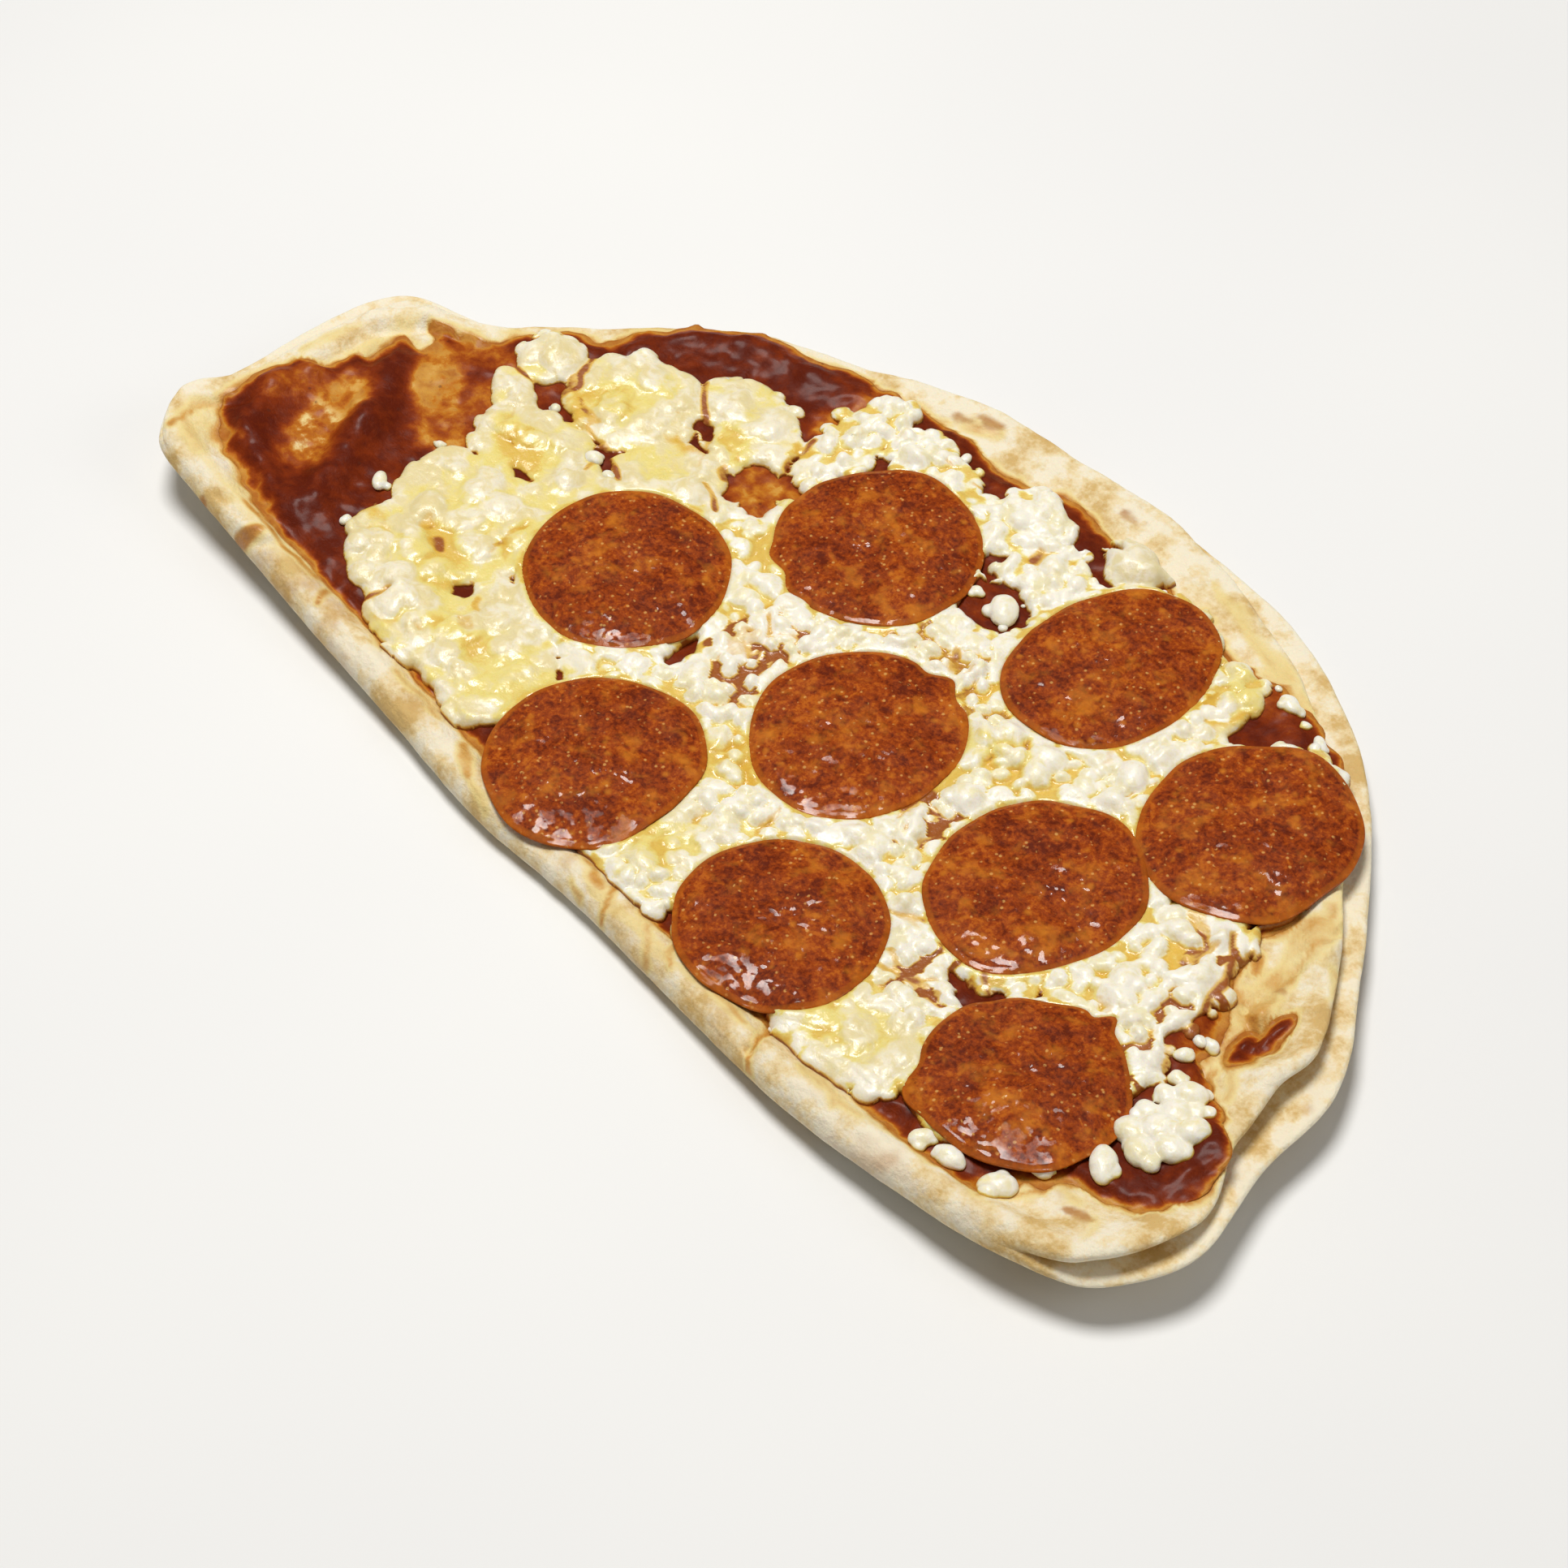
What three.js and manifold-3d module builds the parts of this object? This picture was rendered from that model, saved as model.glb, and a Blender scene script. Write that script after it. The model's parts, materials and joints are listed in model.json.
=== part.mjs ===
// A folded crepe pizza: a round crepe folded in half, with tomato sauce, melted cheese and nine
// slices of pepperoni on it. The whole is bent to a shallow dish, and rests on its lowest part.
//
// Millimetres, +Z up. In plan, x runs along the fold and y from the fold to the round edge, and
// the plan's origin is the lowest spot of the dish. The finished group is moved so that its own
// origin is the middle of its bounding box, at its base.
import * as THREE from 'three';
import Module from 'manifold-3d';
import { mergeVertices } from 'three/addons/utils/BufferGeometryUtils.js';

const wasm = await Module();
wasm.setup();

// ---------------------------------------------------------------- driving dimensions
const CREPE_RADIUS = 139; // the crepe before it was folded
const CREPE_CENTRE_Y = -51; // centre of its circle, a little inside the fold
const LAYER = 2; // one layer of crepe
const BASIN_HEIGHT = 4.4; // both layers, where the toppings lie
const FOLD_HEIGHT = 7.2; // the puffed roll along the fold
const FOLD_ROLL = 11; // how far that roll reaches in from the fold
const FOLD_CREST = 4; // where the roll is highest, from the fold
const FOLD_FROM = -46; // the outline turns from a free edge to the fold between these heights in plan
const FOLD_TO = -53;
const RIM_SLOPE = 11; // width of the slope from the free rim down to the basin
const RIM_BEAD = 0.5; // height of the bead along the free rim
const RIM_BEAD_AT = 4; // where that bead is, from the upper layer's edge, and how wide
const EDGE_STEPS = 96; // points round the crepe's outline

// The section through the rim, from below to above. Each row: [1 on the upper layer or in the
// groove under it, mm in from its edge, height] on the free edge, then [mm in, height] on the fold.
const RIM_SECTION = [
  [0, 2.2, 0, 4, 0],
  [0, 0.5, 0.4, 1.3, 0.9],
  [0, 0, 1, 0.3, 2],
  [0, 0.5, LAYER - 0.3, 0, 3],
  [1, 4.5, LAYER, 0.1, 3.9],
  [1, 0.9, LAYER + 0.15, 0.4, 4.8],
  [1, 0, LAYER + 1.1, 1, 5.8],
  [1, 0.8, BASIN_HEIGHT - 0.4, 2.3, 6.7],
];
// The rings of the underside and of the top: mm in from the rim, or shares of the way.
const UNDER_SHARES = [0.2, 0.45, 0.7, 0.88];
const TOP_INSETS = [3.4, 7];
const TOP_SHARES = [0.06, 0.13, 0.24, 0.4, 0.65];

const DISH_RISE = 11; // how far the crepe has risen at DISH_REACH from its lowest spot
const DISH_REACH = 150;
const DISH_FLAT = 30; // radius of the flat spot that it rests on

const GAP = 0.45; // clearance between pieces that touch
const LEAST_GAP = 0.3; // the least that the sauce keeps to the uneven crepe
const SAUCE = 0.9; // thickness of the sauce
const CELL = 5.5; // mesh size of the cheese; the sauce's is twice this
const CHEESE = 2.8; // a mound of cheese at its middle, above the sauce
const CHEESE_EDGE = 0.9; // the same at its edge
const CHEESE_UNDER_SLICE = 1.3;
const CHEESE_LEAST = 0.4; // its least thickness
const CHEESE_SLOPE = 0.35; // how soon a mound reaches its height, as a share of its radius
const LUMP_SIZE = 7.5; // spacing of the lumps in the cheese
const LUMP_HEIGHT = 1.5;
const LUMP_LEVEL = 0.35; // how much of a lump lies below the mound's surface
const EDGE_LUMPS = 0.1; // how far the lumps move a mound's edge, as a share of its radius
const CURD_SINK = 0.75; // how far a lone curd sinks into the sauce, of its thickness

const SLICE = 1.7; // thickness of a slice of pepperoni
const SLICE_CUP = 0.9; // how far its rim curls up
const SLICE_STEPS = 24;
const SLICE_RINGS = [0.5, 0.84, 1];
const SLICE_TOP_RIM = 0.985; // the rim is a little rounder on top
const SLICE_WAVES = [[3, 0.012, 1], [5, 0.01, 2]]; // waves round a slice, share of radius, shift
const PRESSED_FROM = -0.14; // the cheese is pressed flat from here to under a slice,
const FREE_FROM = -0.38; // and free of it from here, in shares of the slice's radius outside it

// The triangle grid that the sauce and the cheese are cut from.
const GRID_ORIGIN = [-145, -65];
const GRID_SPAN = [290, 160];
const SAUCE_CELL = 2 * CELL;
const LEAST_CUT = 0.15; // an edge cuts a side of a triangle no nearer to its ends than this share

// How far the rim departs from the circle: [degrees from the fold's right end, mm].
const RIM_WAVES = [
  [4, -9.2], [9, -2.9], [19, -2.6], [27, 2.6], [38, 1.6], [48, 3.4], [58, 6.5], [71, 6.4], [81, 3.4],
  [87, 2], [97, 0.7], [105, 1.8], [116, -0.2], [127, 2.2], [139, -0.4], [148, 1.6], [151.5, 7.2],
  [154.5, 13.2], [158, 14.2], [165, 9.2], [170.5, 5.6], [176, 4.8],
];
// Where the fold's nose lies: [x, y], from left to right.
const FOLD_LINE = [
  [-134.6, -51], [-120, -52.6], [-90, -54.4], [-45, -56.8], [-20, -58.5], [0, -57], [28, -57.4],
  [60, -58.6], [90, -56], [111.6, -52.4], [125, -46.8],
];
// How the two layers part round the free edge: [degrees, the upper one's setback, the gap].
const LAYERS_PART = [
  [0, 1.2, 1], [8, 3.4, 2.6], [13, 2.8, 1], [19, 5.5, 2.4], [24, 7.5, 3.4], [29, 5, 2.8],
  [37, 4, 1.2], [46, 5, 0.7], [58, 6.5, 0.6], [72, 5.5, 0.6], [80, 2.5, 0.5], [86, 1, 0.5],
  [145, 1, 0.5], [152, 3, 0.7], [158, 5, 0.8], [168, 4, 0.7], [176, 1.2, 0.6], [180, 1, 0.5],
];
// Creases in the bare crepe: [x, y, to x, to y, half width, height].
const CREASES = [
  [105, 34, 107, 14, 3, 1.5], [107, 14, 115, 24, 3, 1.2], [100, 43, 116, 31, 3, 0.9],
  [131, -4, 133, -28, 3, 0.8], [-129, -2, -131, -16, 3, 0.8],
];
// Ridges in the bare end of the sauce, given in the same way.
const SAUCE_RIDGES = [
  [-122, 2, -105, -34, 4.5, 2.3], [-131, -33, -102, -42, 4, 1.5],
];
// How far the sauce stops short of the outline: [degrees round the dish, mm].
const SAUCE_SETBACK = [
  [-158, 14], [-150, 11.5], [-140, 9.5], [-120, 9.3], [-90, 9], [-60, 9.2], [-35, 7.5], [-24, 5.5],
  [-20, 10.5], [-16, 11], [-13, 6.5], [-7, 6.5], [-4, 18.5], [5, 25], [14, 26], [22, 15], [30, 8],
  [42, 8.2], [62, 10], [76, 12.5], [88, 12], [104, 15], [118, 9.5], [126, 4], [150, 3.4], [160, 5],
  [168, 10], [175, 19], [184, 16.5], [192, 15.5], [199, 14],
];
// Mounds of melted cheese: [x, y, half length, half width, turn in degrees].
const MOUNDS = [
  [-101.8, 24, 7, 6, 40], [-82.8, 29, 15, 12, 20], [-62.8, 40, 14, 10, -12], [-97.8, 10, 8, 6, -40],
  [-81.8, 5, 16, 10, 0], [-78.8, -16, 18, 15, 0], [-77.8, -34, 14, 9, -20], [-59.8, -32, 21, 14, 0],
  [-62.8, 19, 12, 11, 0], [-48.8, -1, 23, 22, 0], [-36.8, -35, 13, 13, 0], [-21.8, 39, 22, 22, 0],
  [-43.8, 62, 8, 8, 0], [-29.8, 63, 12, 5.5, 0], [-7.8, 66, 10, 9, 20], [5.2, 60, 9, 9, 0],
  [15.2, 74, 6, 9, 10], [31.2, 52, 19, 23, 0], [53.2, 58, 8, 9.5, 0], [53.2, 39, 10, 15, 0],
  [77.2, 43, 20, 19, 0], [4.2, 34, 12, 7, 0], [11.2, 7, 24, 22, 0], [-19.8, 8, 10, 13, 0],
  [-15.8, -33, 20, 14, 0], [-26.8, -15, 13, 9, 0], [10.2, -31, 11, 19, 0], [35.2, -1, 12, 22, 0],
  [38.2, 26, 17, 11, 0], [60.2, 5, 20, 22, 0], [35.2, -32, 20, 14.5, 0], [62.2, -21, 12, 7, 0],
  [63.2, -38, 12, 11, 0], [89.2, -26, 17, 17, 0], [88.2, 4, 13, 17, 0], [97.2, -9, 10, 8, 20],
  [89.2, 20, 8, 4.5, 10], [114.2, -17, 7, 8.5, 0],
];
// Spots inside the cheese where the sauce shows: [x, y, half length, half width, turn].
const BARE_SPOTS = [
  [-45.3, 35, 5.5, 11, 0], [-74.8, 15.5, 6, 2.6, 5], [-26.3, -6, 2.4, 5, -10],
  [-15.8, 3, 2.6, 3, 0], [5.2, 46.5, 8, 5.5, 0], [1.2, 69.5, 6, 3, -20], [34.2, -2, 2.4, 3, 0],
  [67.2, -20, 4, 2.2, 10], [-80.8, -0.5, 3, 2.2, 0],
];
// Curds that lie on the sauce by themselves: [x, y, half length, half width, turn].
const LONE_CURDS = [
  [-98.6, -23.4, 2.6, 1.9, -50], [6.4, 47.4, 4, 2.9, -40], [60.6, 69.4, 2.6, 2, -10],
  [71.4, 66.1, 2.8, 1.5, -35], [113.6, -29.6, 4, 2.6, -45], [102.5, -45, 3.6, 2.6, 50],
  [93, -46.6, 3.2, 2, 10], [87, -47.2, 2.6, 1.8, 60],
];
// The slices: [x, y, half length along x, half length along y].
const SLICES = [
  [-48.9, -0.8, 20.3, 20.6], [-21.5, 39.7, 20.8, 20.8], [31.6, 51.7, 17.8, 22.2],
  [-15.9, -35.6, 20, 21.3], [11.4, 5.3, 20, 21], [76.9, 41.9, 19.7, 21.2], [59.6, 4.9, 19.2, 20.4],
  [35.8, -34.1, 19.8, 19.3], [89.9, -26.4, 18.5, 18.6],
];

// ---------------------------------------------------------------- small helpers
const clamp01 = (t) => Math.min(1, Math.max(0, t));
const mix = (a, b, t) => a + (b - a) * t;
const smooth = (low, high, x) => {
  const t = clamp01((x - low) / (high - low));
  return t * t * (3 - 2 * t);
};

// Reads a table whose rows start with a position, with smooth steps between its rows.
function tableAt(table, position, column = 1) {
  const after = table.findIndex((row) => row[0] > position);
  if (after === 0) return table[0][column];
  if (after < 0) return table[table.length - 1][column];
  const [low, high] = [table[after - 1], table[after]];
  return mix(low[column], high[column], smooth(low[0], high[0], position));
}

// 1 in the middle of a turned ellipse, 0 on its edge, and negative outside it.
function insideEllipse([cx, cy, rx, ry, turn], x, y) {
  const a = THREE.MathUtils.degToRad(turn);
  const along = (x - cx) * Math.cos(a) + (y - cy) * Math.sin(a);
  const across = (y - cy) * Math.cos(a) - (x - cx) * Math.sin(a);
  return 1 - Math.hypot(along / rx, across / ry);
}

// A repeatable value from 0 to 1 for each cell of a grid.
function cellValue(i, j, seed) {
  const s = Math.sin(i * 127.1 + j * 311.7 + seed * 74.7) * 43758.5453;
  return s - Math.floor(s);
}

// Rounded lumps, one for each cell of a grid: 1 on top of a lump and 0 between them.
function lumps(x, y, size, seed) {
  const [ci, cj] = [Math.floor(x / size), Math.floor(y / size)];
  let nearest = 2;
  for (let i = ci - 1; i <= ci + 1; i++) {
    for (let j = cj - 1; j <= cj + 1; j++) {
      const px = (i + 0.2 + 0.6 * cellValue(i, j, seed)) * size;
      const py = (j + 0.2 + 0.6 * cellValue(j, i, seed + 5)) * size;
      nearest = Math.min(nearest, Math.hypot(x - px, y - py) / size);
    }
  }
  return Math.sqrt(clamp01(1 - nearest * nearest * 1.6));
}

// ---------------------------------------------------------------- the crepe's outline
function crepeOutline() {
  const points = FOLD_LINE.map(([x, y]) => new THREE.Vector3(x, y, 0));
  for (const [degrees, wave] of RIM_WAVES) {
    const angle = THREE.MathUtils.degToRad(degrees);
    const r = CREPE_RADIUS + wave;
    points.push(new THREE.Vector3(r * Math.cos(angle), CREPE_CENTRE_Y + r * Math.sin(angle), 0));
  }
  const curve = new THREE.CatmullRomCurve3(points, true, 'centripetal');
  const spaced = curve.getSpacedPoints(EDGE_STEPS).slice(0, EDGE_STEPS);
  return spaced.map((p, i) => {
    const before = spaced[(i + EDGE_STEPS - 1) % EDGE_STEPS];
    const after = spaced[(i + 1) % EDGE_STEPS];
    const along = new THREE.Vector2(after.x - before.x, after.y - before.y).normalize();
    const dy = p.y - CREPE_CENTRE_Y;
    const degrees = THREE.MathUtils.radToDeg(Math.atan2(Math.max(dy, 0), p.x));
    return {
      x: p.x,
      y: p.y,
      inX: -along.y, // unit vector into the crepe
      inY: along.x,
      fold: smooth(FOLD_FROM, FOLD_TO, p.y), // 1 along the fold, 0 round the free edge
      setback: tableAt(LAYERS_PART, degrees, 1),
      gap: tableAt(LAYERS_PART, degrees, 2),
    };
  });
}
const OUTLINE = crepeOutline();

// The nearest place on the outline, and how far inside it a plan point lies.
function nearestEdge(x, y) {
  let best = { distance: Infinity };
  OUTLINE.forEach((a, i) => {
    const b = OUTLINE[(i + 1) % EDGE_STEPS];
    const [dx, dy] = [b.x - a.x, b.y - a.y];
    const t = clamp01(((x - a.x) * dx + (y - a.y) * dy) / (dx * dx + dy * dy));
    const [px, py] = [a.x + dx * t, a.y + dy * t];
    const distance = Math.hypot(x - px, y - py);
    if (distance < best.distance) {
      const inward = (x - px) * mix(a.inX, b.inX, t) + (y - py) * mix(a.inY, b.inY, t);
      best = {
        distance,
        inside: inward >= 0 ? distance : -distance,
        fold: mix(a.fold, b.fold, t),
        setback: mix(a.setback, b.setback, t),
        gap: mix(a.gap, b.gap, t),
      };
    }
  });
  return best;
}

// ---------------------------------------------------------------- heights
// The dish: flat in the middle, rising towards the ends and the round edge.
function dish(x, y) {
  const t = Math.max(0, Math.hypot(x, y) - DISH_FLAT) / (DISH_REACH - DISH_FLAT);
  return DISH_RISE * t * t;
}

// The height that a list of rounded ridges adds.
function ridges(list, x, y) {
  let height = 0;
  for (const [x0, y0, x1, y1, width, rise] of list) {
    const [dx, dy] = [x1 - x0, y1 - y0];
    const t = clamp01(((x - x0) * dx + (y - y0) * dy) / (dx * dx + dy * dy));
    const off = Math.hypot(x - x0 - dx * t, y - y0 - dy * t) / width;
    height += rise * Math.exp(-off * off);
  }
  return height;
}

// The rim of the upper layer at a distance inside the outline: the free edge, then the fold.
const freeRim = (edge, d) => {
  const lift = edge.gap * (1 - smooth(edge.setback, edge.setback + RIM_SLOPE, d));
  const fromBead = (d - edge.setback - RIM_BEAD_AT) / RIM_BEAD_AT;
  return BASIN_HEIGHT + lift + RIM_BEAD * Math.exp(-fromBead * fromBead);
};
const foldRim = (d) =>
  BASIN_HEIGHT + (FOLD_HEIGHT - BASIN_HEIGHT) * (1 - smooth(FOLD_CREST, FOLD_ROLL, d));

// The crepe's top, without the round of its edge.
function crepeTop(x, y) {
  const edge = nearestEdge(x, y);
  const rim = mix(freeRim(edge, edge.inside), foldRim(edge.inside), edge.fold);
  return dish(x, y) + rim + ridges(CREASES, x, y);
}

// A surface that is flat between the points of the sauce's triangle grid, as its mesh is.
function onSauceGrid(height) {
  const known = new Map();
  const rowStep = (SAUCE_CELL * Math.sqrt(3)) / 2;
  const at = (i, j) => {
    const key = `${i},${j}`;
    if (!known.has(key)) {
      const x = GRID_ORIGIN[0] + (i + j / 2) * SAUCE_CELL;
      known.set(key, height(x, GRID_ORIGIN[1] + j * rowStep));
    }
    return known.get(key);
  };
  return (x, y) => {
    const v = (y - GRID_ORIGIN[1]) / rowStep;
    const u = (x - GRID_ORIGIN[0]) / SAUCE_CELL - v / 2;
    const [i, j] = [Math.floor(u), Math.floor(v)];
    const [a, b] = [u - i, v - j];
    if (a + b < 1) return at(i, j) * (1 - a - b) + at(i + 1, j) * a + at(i, j + 1) * b;
    return at(i + 1, j + 1) * (a + b - 1) + at(i + 1, j) * (1 - b) + at(i, j + 1) * (1 - a);
  };
}
const sauceBottom = onSauceGrid((x, y) => crepeTop(x, y) + 2 * LEAST_GAP);
const sauceTop = onSauceGrid(
  (x, y) => crepeTop(x, y) + 2 * LEAST_GAP + SAUCE + ridges(SAUCE_RIDGES, x, y),
);

// What the slices lie on: the basin without its creases and lumps, and the roll of the fold.
function sliceBed(x, y) {
  const over = Math.max(BASIN_HEIGHT + SAUCE + GAP + CHEESE_UNDER_SLICE, FOLD_HEIGHT);
  return dish(x, y) + over + 2 * GAP;
}

// Positive where there is cheese, and larger towards the middle of a mound.
function cheeseCover(x, y) {
  let cover = -1;
  for (const mound of MOUNDS) cover = Math.max(cover, insideEllipse(mound, x, y));
  for (const spot of BARE_SPOTS) cover = Math.min(cover, -insideEllipse(spot, x, y) / 2);
  return cover + EDGE_LUMPS * (lumps(x, y, LUMP_SIZE, 3) - 0.5);
}

// Positive under a slice, and negative away from all of them.
function sliceCover(x, y) {
  return Math.max(...SLICES.map(([cx, cy, rx, ry]) => insideEllipse([cx, cy, rx, ry, 0], x, y)));
}

function cheeseTop(x, y) {
  const rounding = Math.sqrt(clamp01(cheeseCover(x, y) / CHEESE_SLOPE));
  const mound = mix(CHEESE_EDGE, CHEESE, rounding);
  const lump = LUMP_HEIGHT * (lumps(x, y, LUMP_SIZE, 1) - LUMP_LEVEL) * rounding;
  const base = sauceTop(x, y) + GAP;
  const free = base + mound + lump;
  const pressed = Math.min(free, sliceBed(x, y) - 1.2 * GAP);
  const share = smooth(FREE_FROM, PRESSED_FROM, sliceCover(x, y));
  return Math.max(mix(free, pressed, share), base + CHEESE_LEAST);
}

// ---------------------------------------------------------------- mesh builders
class MeshBuilder {
  positions = [];
  triangles = [];

  vertex(x, y, z) {
    return this.positions.push(x, y, z) / 3 - 1;
  }

  quad(a, b, c, d) {
    this.triangles.push(a, b, c, a, c, d);
  }

  // Joins two rings of the same length, or a ring and one point.
  band(ring, next) {
    const n = Math.max(ring.length, next.length);
    for (let i = 0; i < n; i++) {
      const j = (i + 1) % n;
      if (ring.length === 1) this.triangles.push(ring[0], next[j], next[i]);
      else if (next.length === 1) this.triangles.push(ring[i], ring[j], next[0]);
      else if (i % 2) this.quad(ring[i], ring[j], next[j], next[i]);
      else this.quad(ring[j], next[j], next[i], ring[i]);
    }
  }

  geometry() {
    const geometry = new THREE.BufferGeometry();
    geometry.setAttribute('position', new THREE.Float32BufferAttribute(this.positions, 3));
    geometry.setIndex(this.triangles);
    return geometry;
  }
}

// A solid over the part of a triangle grid where cover(x, y) is positive, between two heights.
// Only its largest connected piece is kept.
function coverSolid(cell, cover, bottom, top) {
  const rowStep = (cell * Math.sqrt(3)) / 2;
  const points = new Map();
  const at = (i, j) => {
    const key = `${i},${j}`;
    if (!points.has(key)) {
      const x = GRID_ORIGIN[0] + (i + j / 2) * cell;
      const y = GRID_ORIGIN[1] + j * rowStep;
      points.set(key, { key, x, y, cover: cover(x, y) });
    }
    return points.get(key);
  };
  const crossing = (a, b) => {
    const key = [a.key, b.key].sort().join('|');
    if (!points.has(key)) {
      const t = THREE.MathUtils.clamp(a.cover / (a.cover - b.cover), LEAST_CUT, 1 - LEAST_CUT);
      points.set(key, { key, x: mix(a.x, b.x, t), y: mix(a.y, b.y, t) });
    }
    return points.get(key);
  };
  const faces = [];
  const clip = (corners) => {
    const kept = [];
    corners.forEach((a, i) => {
      const b = corners[(i + 1) % 3];
      if (a.cover > 0) kept.push(a);
      if (a.cover > 0 !== b.cover > 0) kept.push(crossing(a, b));
    });
    for (let i = 2; i < kept.length; i++) faces.push([kept[0], kept[i - 1], kept[i]]);
  };
  const rows = Math.ceil(GRID_SPAN[1] / rowStep);
  const columns = Math.ceil(GRID_SPAN[0] / cell);
  for (let j = 0; j < rows; j++) {
    for (let i = -Math.ceil(j / 2); i < columns; i++) {
      clip([at(i, j), at(i + 1, j), at(i, j + 1)]);
      clip([at(i + 1, j), at(i + 1, j + 1), at(i, j + 1)]);
    }
  }
  return extrudeFaces(largestPiece(faces), bottom, top);
}

// Keeps the faces that hang together with the most others.
function largestPiece(faces) {
  const group = new Map();
  const find = (key) => {
    while (group.get(key) !== key) key = group.get(key);
    return key;
  };
  for (const face of faces) for (const p of face) if (!group.has(p.key)) group.set(p.key, p.key);
  for (const [a, b, c] of faces) {
    group.set(find(b.key), find(a.key));
    group.set(find(c.key), find(a.key));
  }
  const sizes = new Map();
  for (const [a] of faces) sizes.set(find(a.key), (sizes.get(find(a.key)) ?? 0) + 1);
  const largest = [...sizes].sort((a, b) => b[1] - a[1])[0][0];
  return faces.filter(([a]) => find(a.key) === largest);
}

// Turns plan faces into a closed solid: a top, a bottom, and a wall along every open side.
function extrudeFaces(faces, bottom, top) {
  const mesh = new MeshBuilder();
  const vertices = new Map();
  const pair = (p) => {
    if (!vertices.has(p.key)) {
      const low = mesh.vertex(p.x, p.y, bottom(p.x, p.y));
      vertices.set(p.key, { low, high: mesh.vertex(p.x, p.y, top(p.x, p.y)) });
    }
    return vertices.get(p.key);
  };
  const sides = new Map();
  for (const face of faces) {
    const [a, b, c] = face.map(pair);
    mesh.triangles.push(a.high, b.high, c.high, c.low, b.low, a.low);
    face.forEach((p, i) => {
      const q = face[(i + 1) % 3];
      if (!sides.delete(`${q.key}>${p.key}`)) sides.set(`${p.key}>${q.key}`, [p, q]);
    });
  }
  for (const [p, q] of sides.values()) {
    const [a, b] = [pair(p), pair(q)];
    mesh.quad(a.low, b.low, b.high, a.high);
  }
  return mesh.geometry();
}

// ---------------------------------------------------------------- joining solids
function toSolid(geometry) {
  const bare = new THREE.BufferGeometry();
  bare.setAttribute('position', geometry.getAttribute('position').clone());
  if (geometry.index) bare.setIndex(geometry.index.clone());
  const merged = mergeVertices(bare);
  return new wasm.Manifold(
    new wasm.Mesh({
      numProp: 3,
      vertProperties: new Float32Array(merged.getAttribute('position').array),
      triVerts: new Uint32Array(merged.index.array),
    }),
  );
}

function toGeometry(solid) {
  const { vertProperties, triVerts } = solid.getMesh();
  const geometry = new THREE.BufferGeometry();
  geometry.setAttribute('position', new THREE.BufferAttribute(vertProperties, 3));
  geometry.setIndex(new THREE.BufferAttribute(triVerts, 1));
  return geometry;
}

// ---------------------------------------------------------------- the pieces
// The folded crepe: rings from the middle of its underside, round its edge, to the middle of its
// top. Round the free edge the rings step in between the two layers and out again.
function crepeGeometry() {
  const mesh = new MeshBuilder();
  const rings = [[mesh.vertex(0, 0, 0)]];
  for (const share of UNDER_SHARES) {
    rings.push(
      OUTLINE.map((p) => mesh.vertex(p.x * share, p.y * share, dish(p.x * share, p.y * share))),
    );
  }
  for (const [upper, inset, height, foldInset, foldHeight] of RIM_SECTION) {
    rings.push(
      OUTLINE.map((p) => {
        const d = mix(upper * p.setback + inset, foldInset, p.fold);
        const [x, y] = [p.x + p.inX * d, p.y + p.inY * d];
        const lift = upper && inset < RIM_BEAD_AT ? p.gap : 0;
        return mesh.vertex(x, y, dish(x, y) + mix(height + lift, foldHeight, p.fold));
      }),
    );
  }
  // Further in, the rings close on the middle, so that they don't cross at the corners.
  const addTopRing = (inset, share) => {
    rings.push(
      OUTLINE.map((p) => {
        const d = inset + p.setback * (1 - p.fold);
        const [x, y] = [(p.x + p.inX * d) * (1 - share), (p.y + p.inY * d) * (1 - share)];
        return mesh.vertex(x, y, crepeTop(x, y));
      }),
    );
  };
  for (const inset of TOP_INSETS) addTopRing(inset, 0);
  for (const share of TOP_SHARES) addTopRing(TOP_INSETS.at(-1), share);
  rings.push([mesh.vertex(0, 0, crepeTop(0, 0))]);
  rings.slice(1).forEach((ring, i) => mesh.band(rings[i], ring));
  return mesh.geometry();
}

// The sauce, with the lone curds fused on, cut clear of the crepe where that is most uneven.
function sauceGeometry() {
  const cover = (x, y) => {
    const degrees = THREE.MathUtils.radToDeg(Math.atan2(y, x));
    const turn = degrees < SAUCE_SETBACK[0][0] ? degrees + 360 : degrees;
    const wander = 1.2 * Math.sin(x * 0.21) * Math.cos(y * 0.17);
    return nearestEdge(x, y).inside - tableAt(SAUCE_SETBACK, turn) + wander;
  };
  let sauce = toSolid(coverSolid(SAUCE_CELL, cover, sauceBottom, sauceTop));
  for (const [x, y, rx, ry, turn] of LONE_CURDS) {
    const curd = new THREE.IcosahedronGeometry(1, 1);
    curd.scale(rx, ry, ry);
    curd.rotateZ(THREE.MathUtils.degToRad(turn));
    curd.translate(x, y, sauceTop(x, y) + ry - SAUCE * CURD_SINK);
    sauce = sauce.add(toSolid(curd));
  }
  return sauce.subtract(toSolid(crepeGeometry()).translate([0, 0, LEAST_GAP]));
}

function cheeseGeometry() {
  const bottom = (x, y) => sauceTop(x, y) + GAP;
  return coverSolid(CELL, cheeseCover, bottom, cheeseTop);
}

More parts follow.
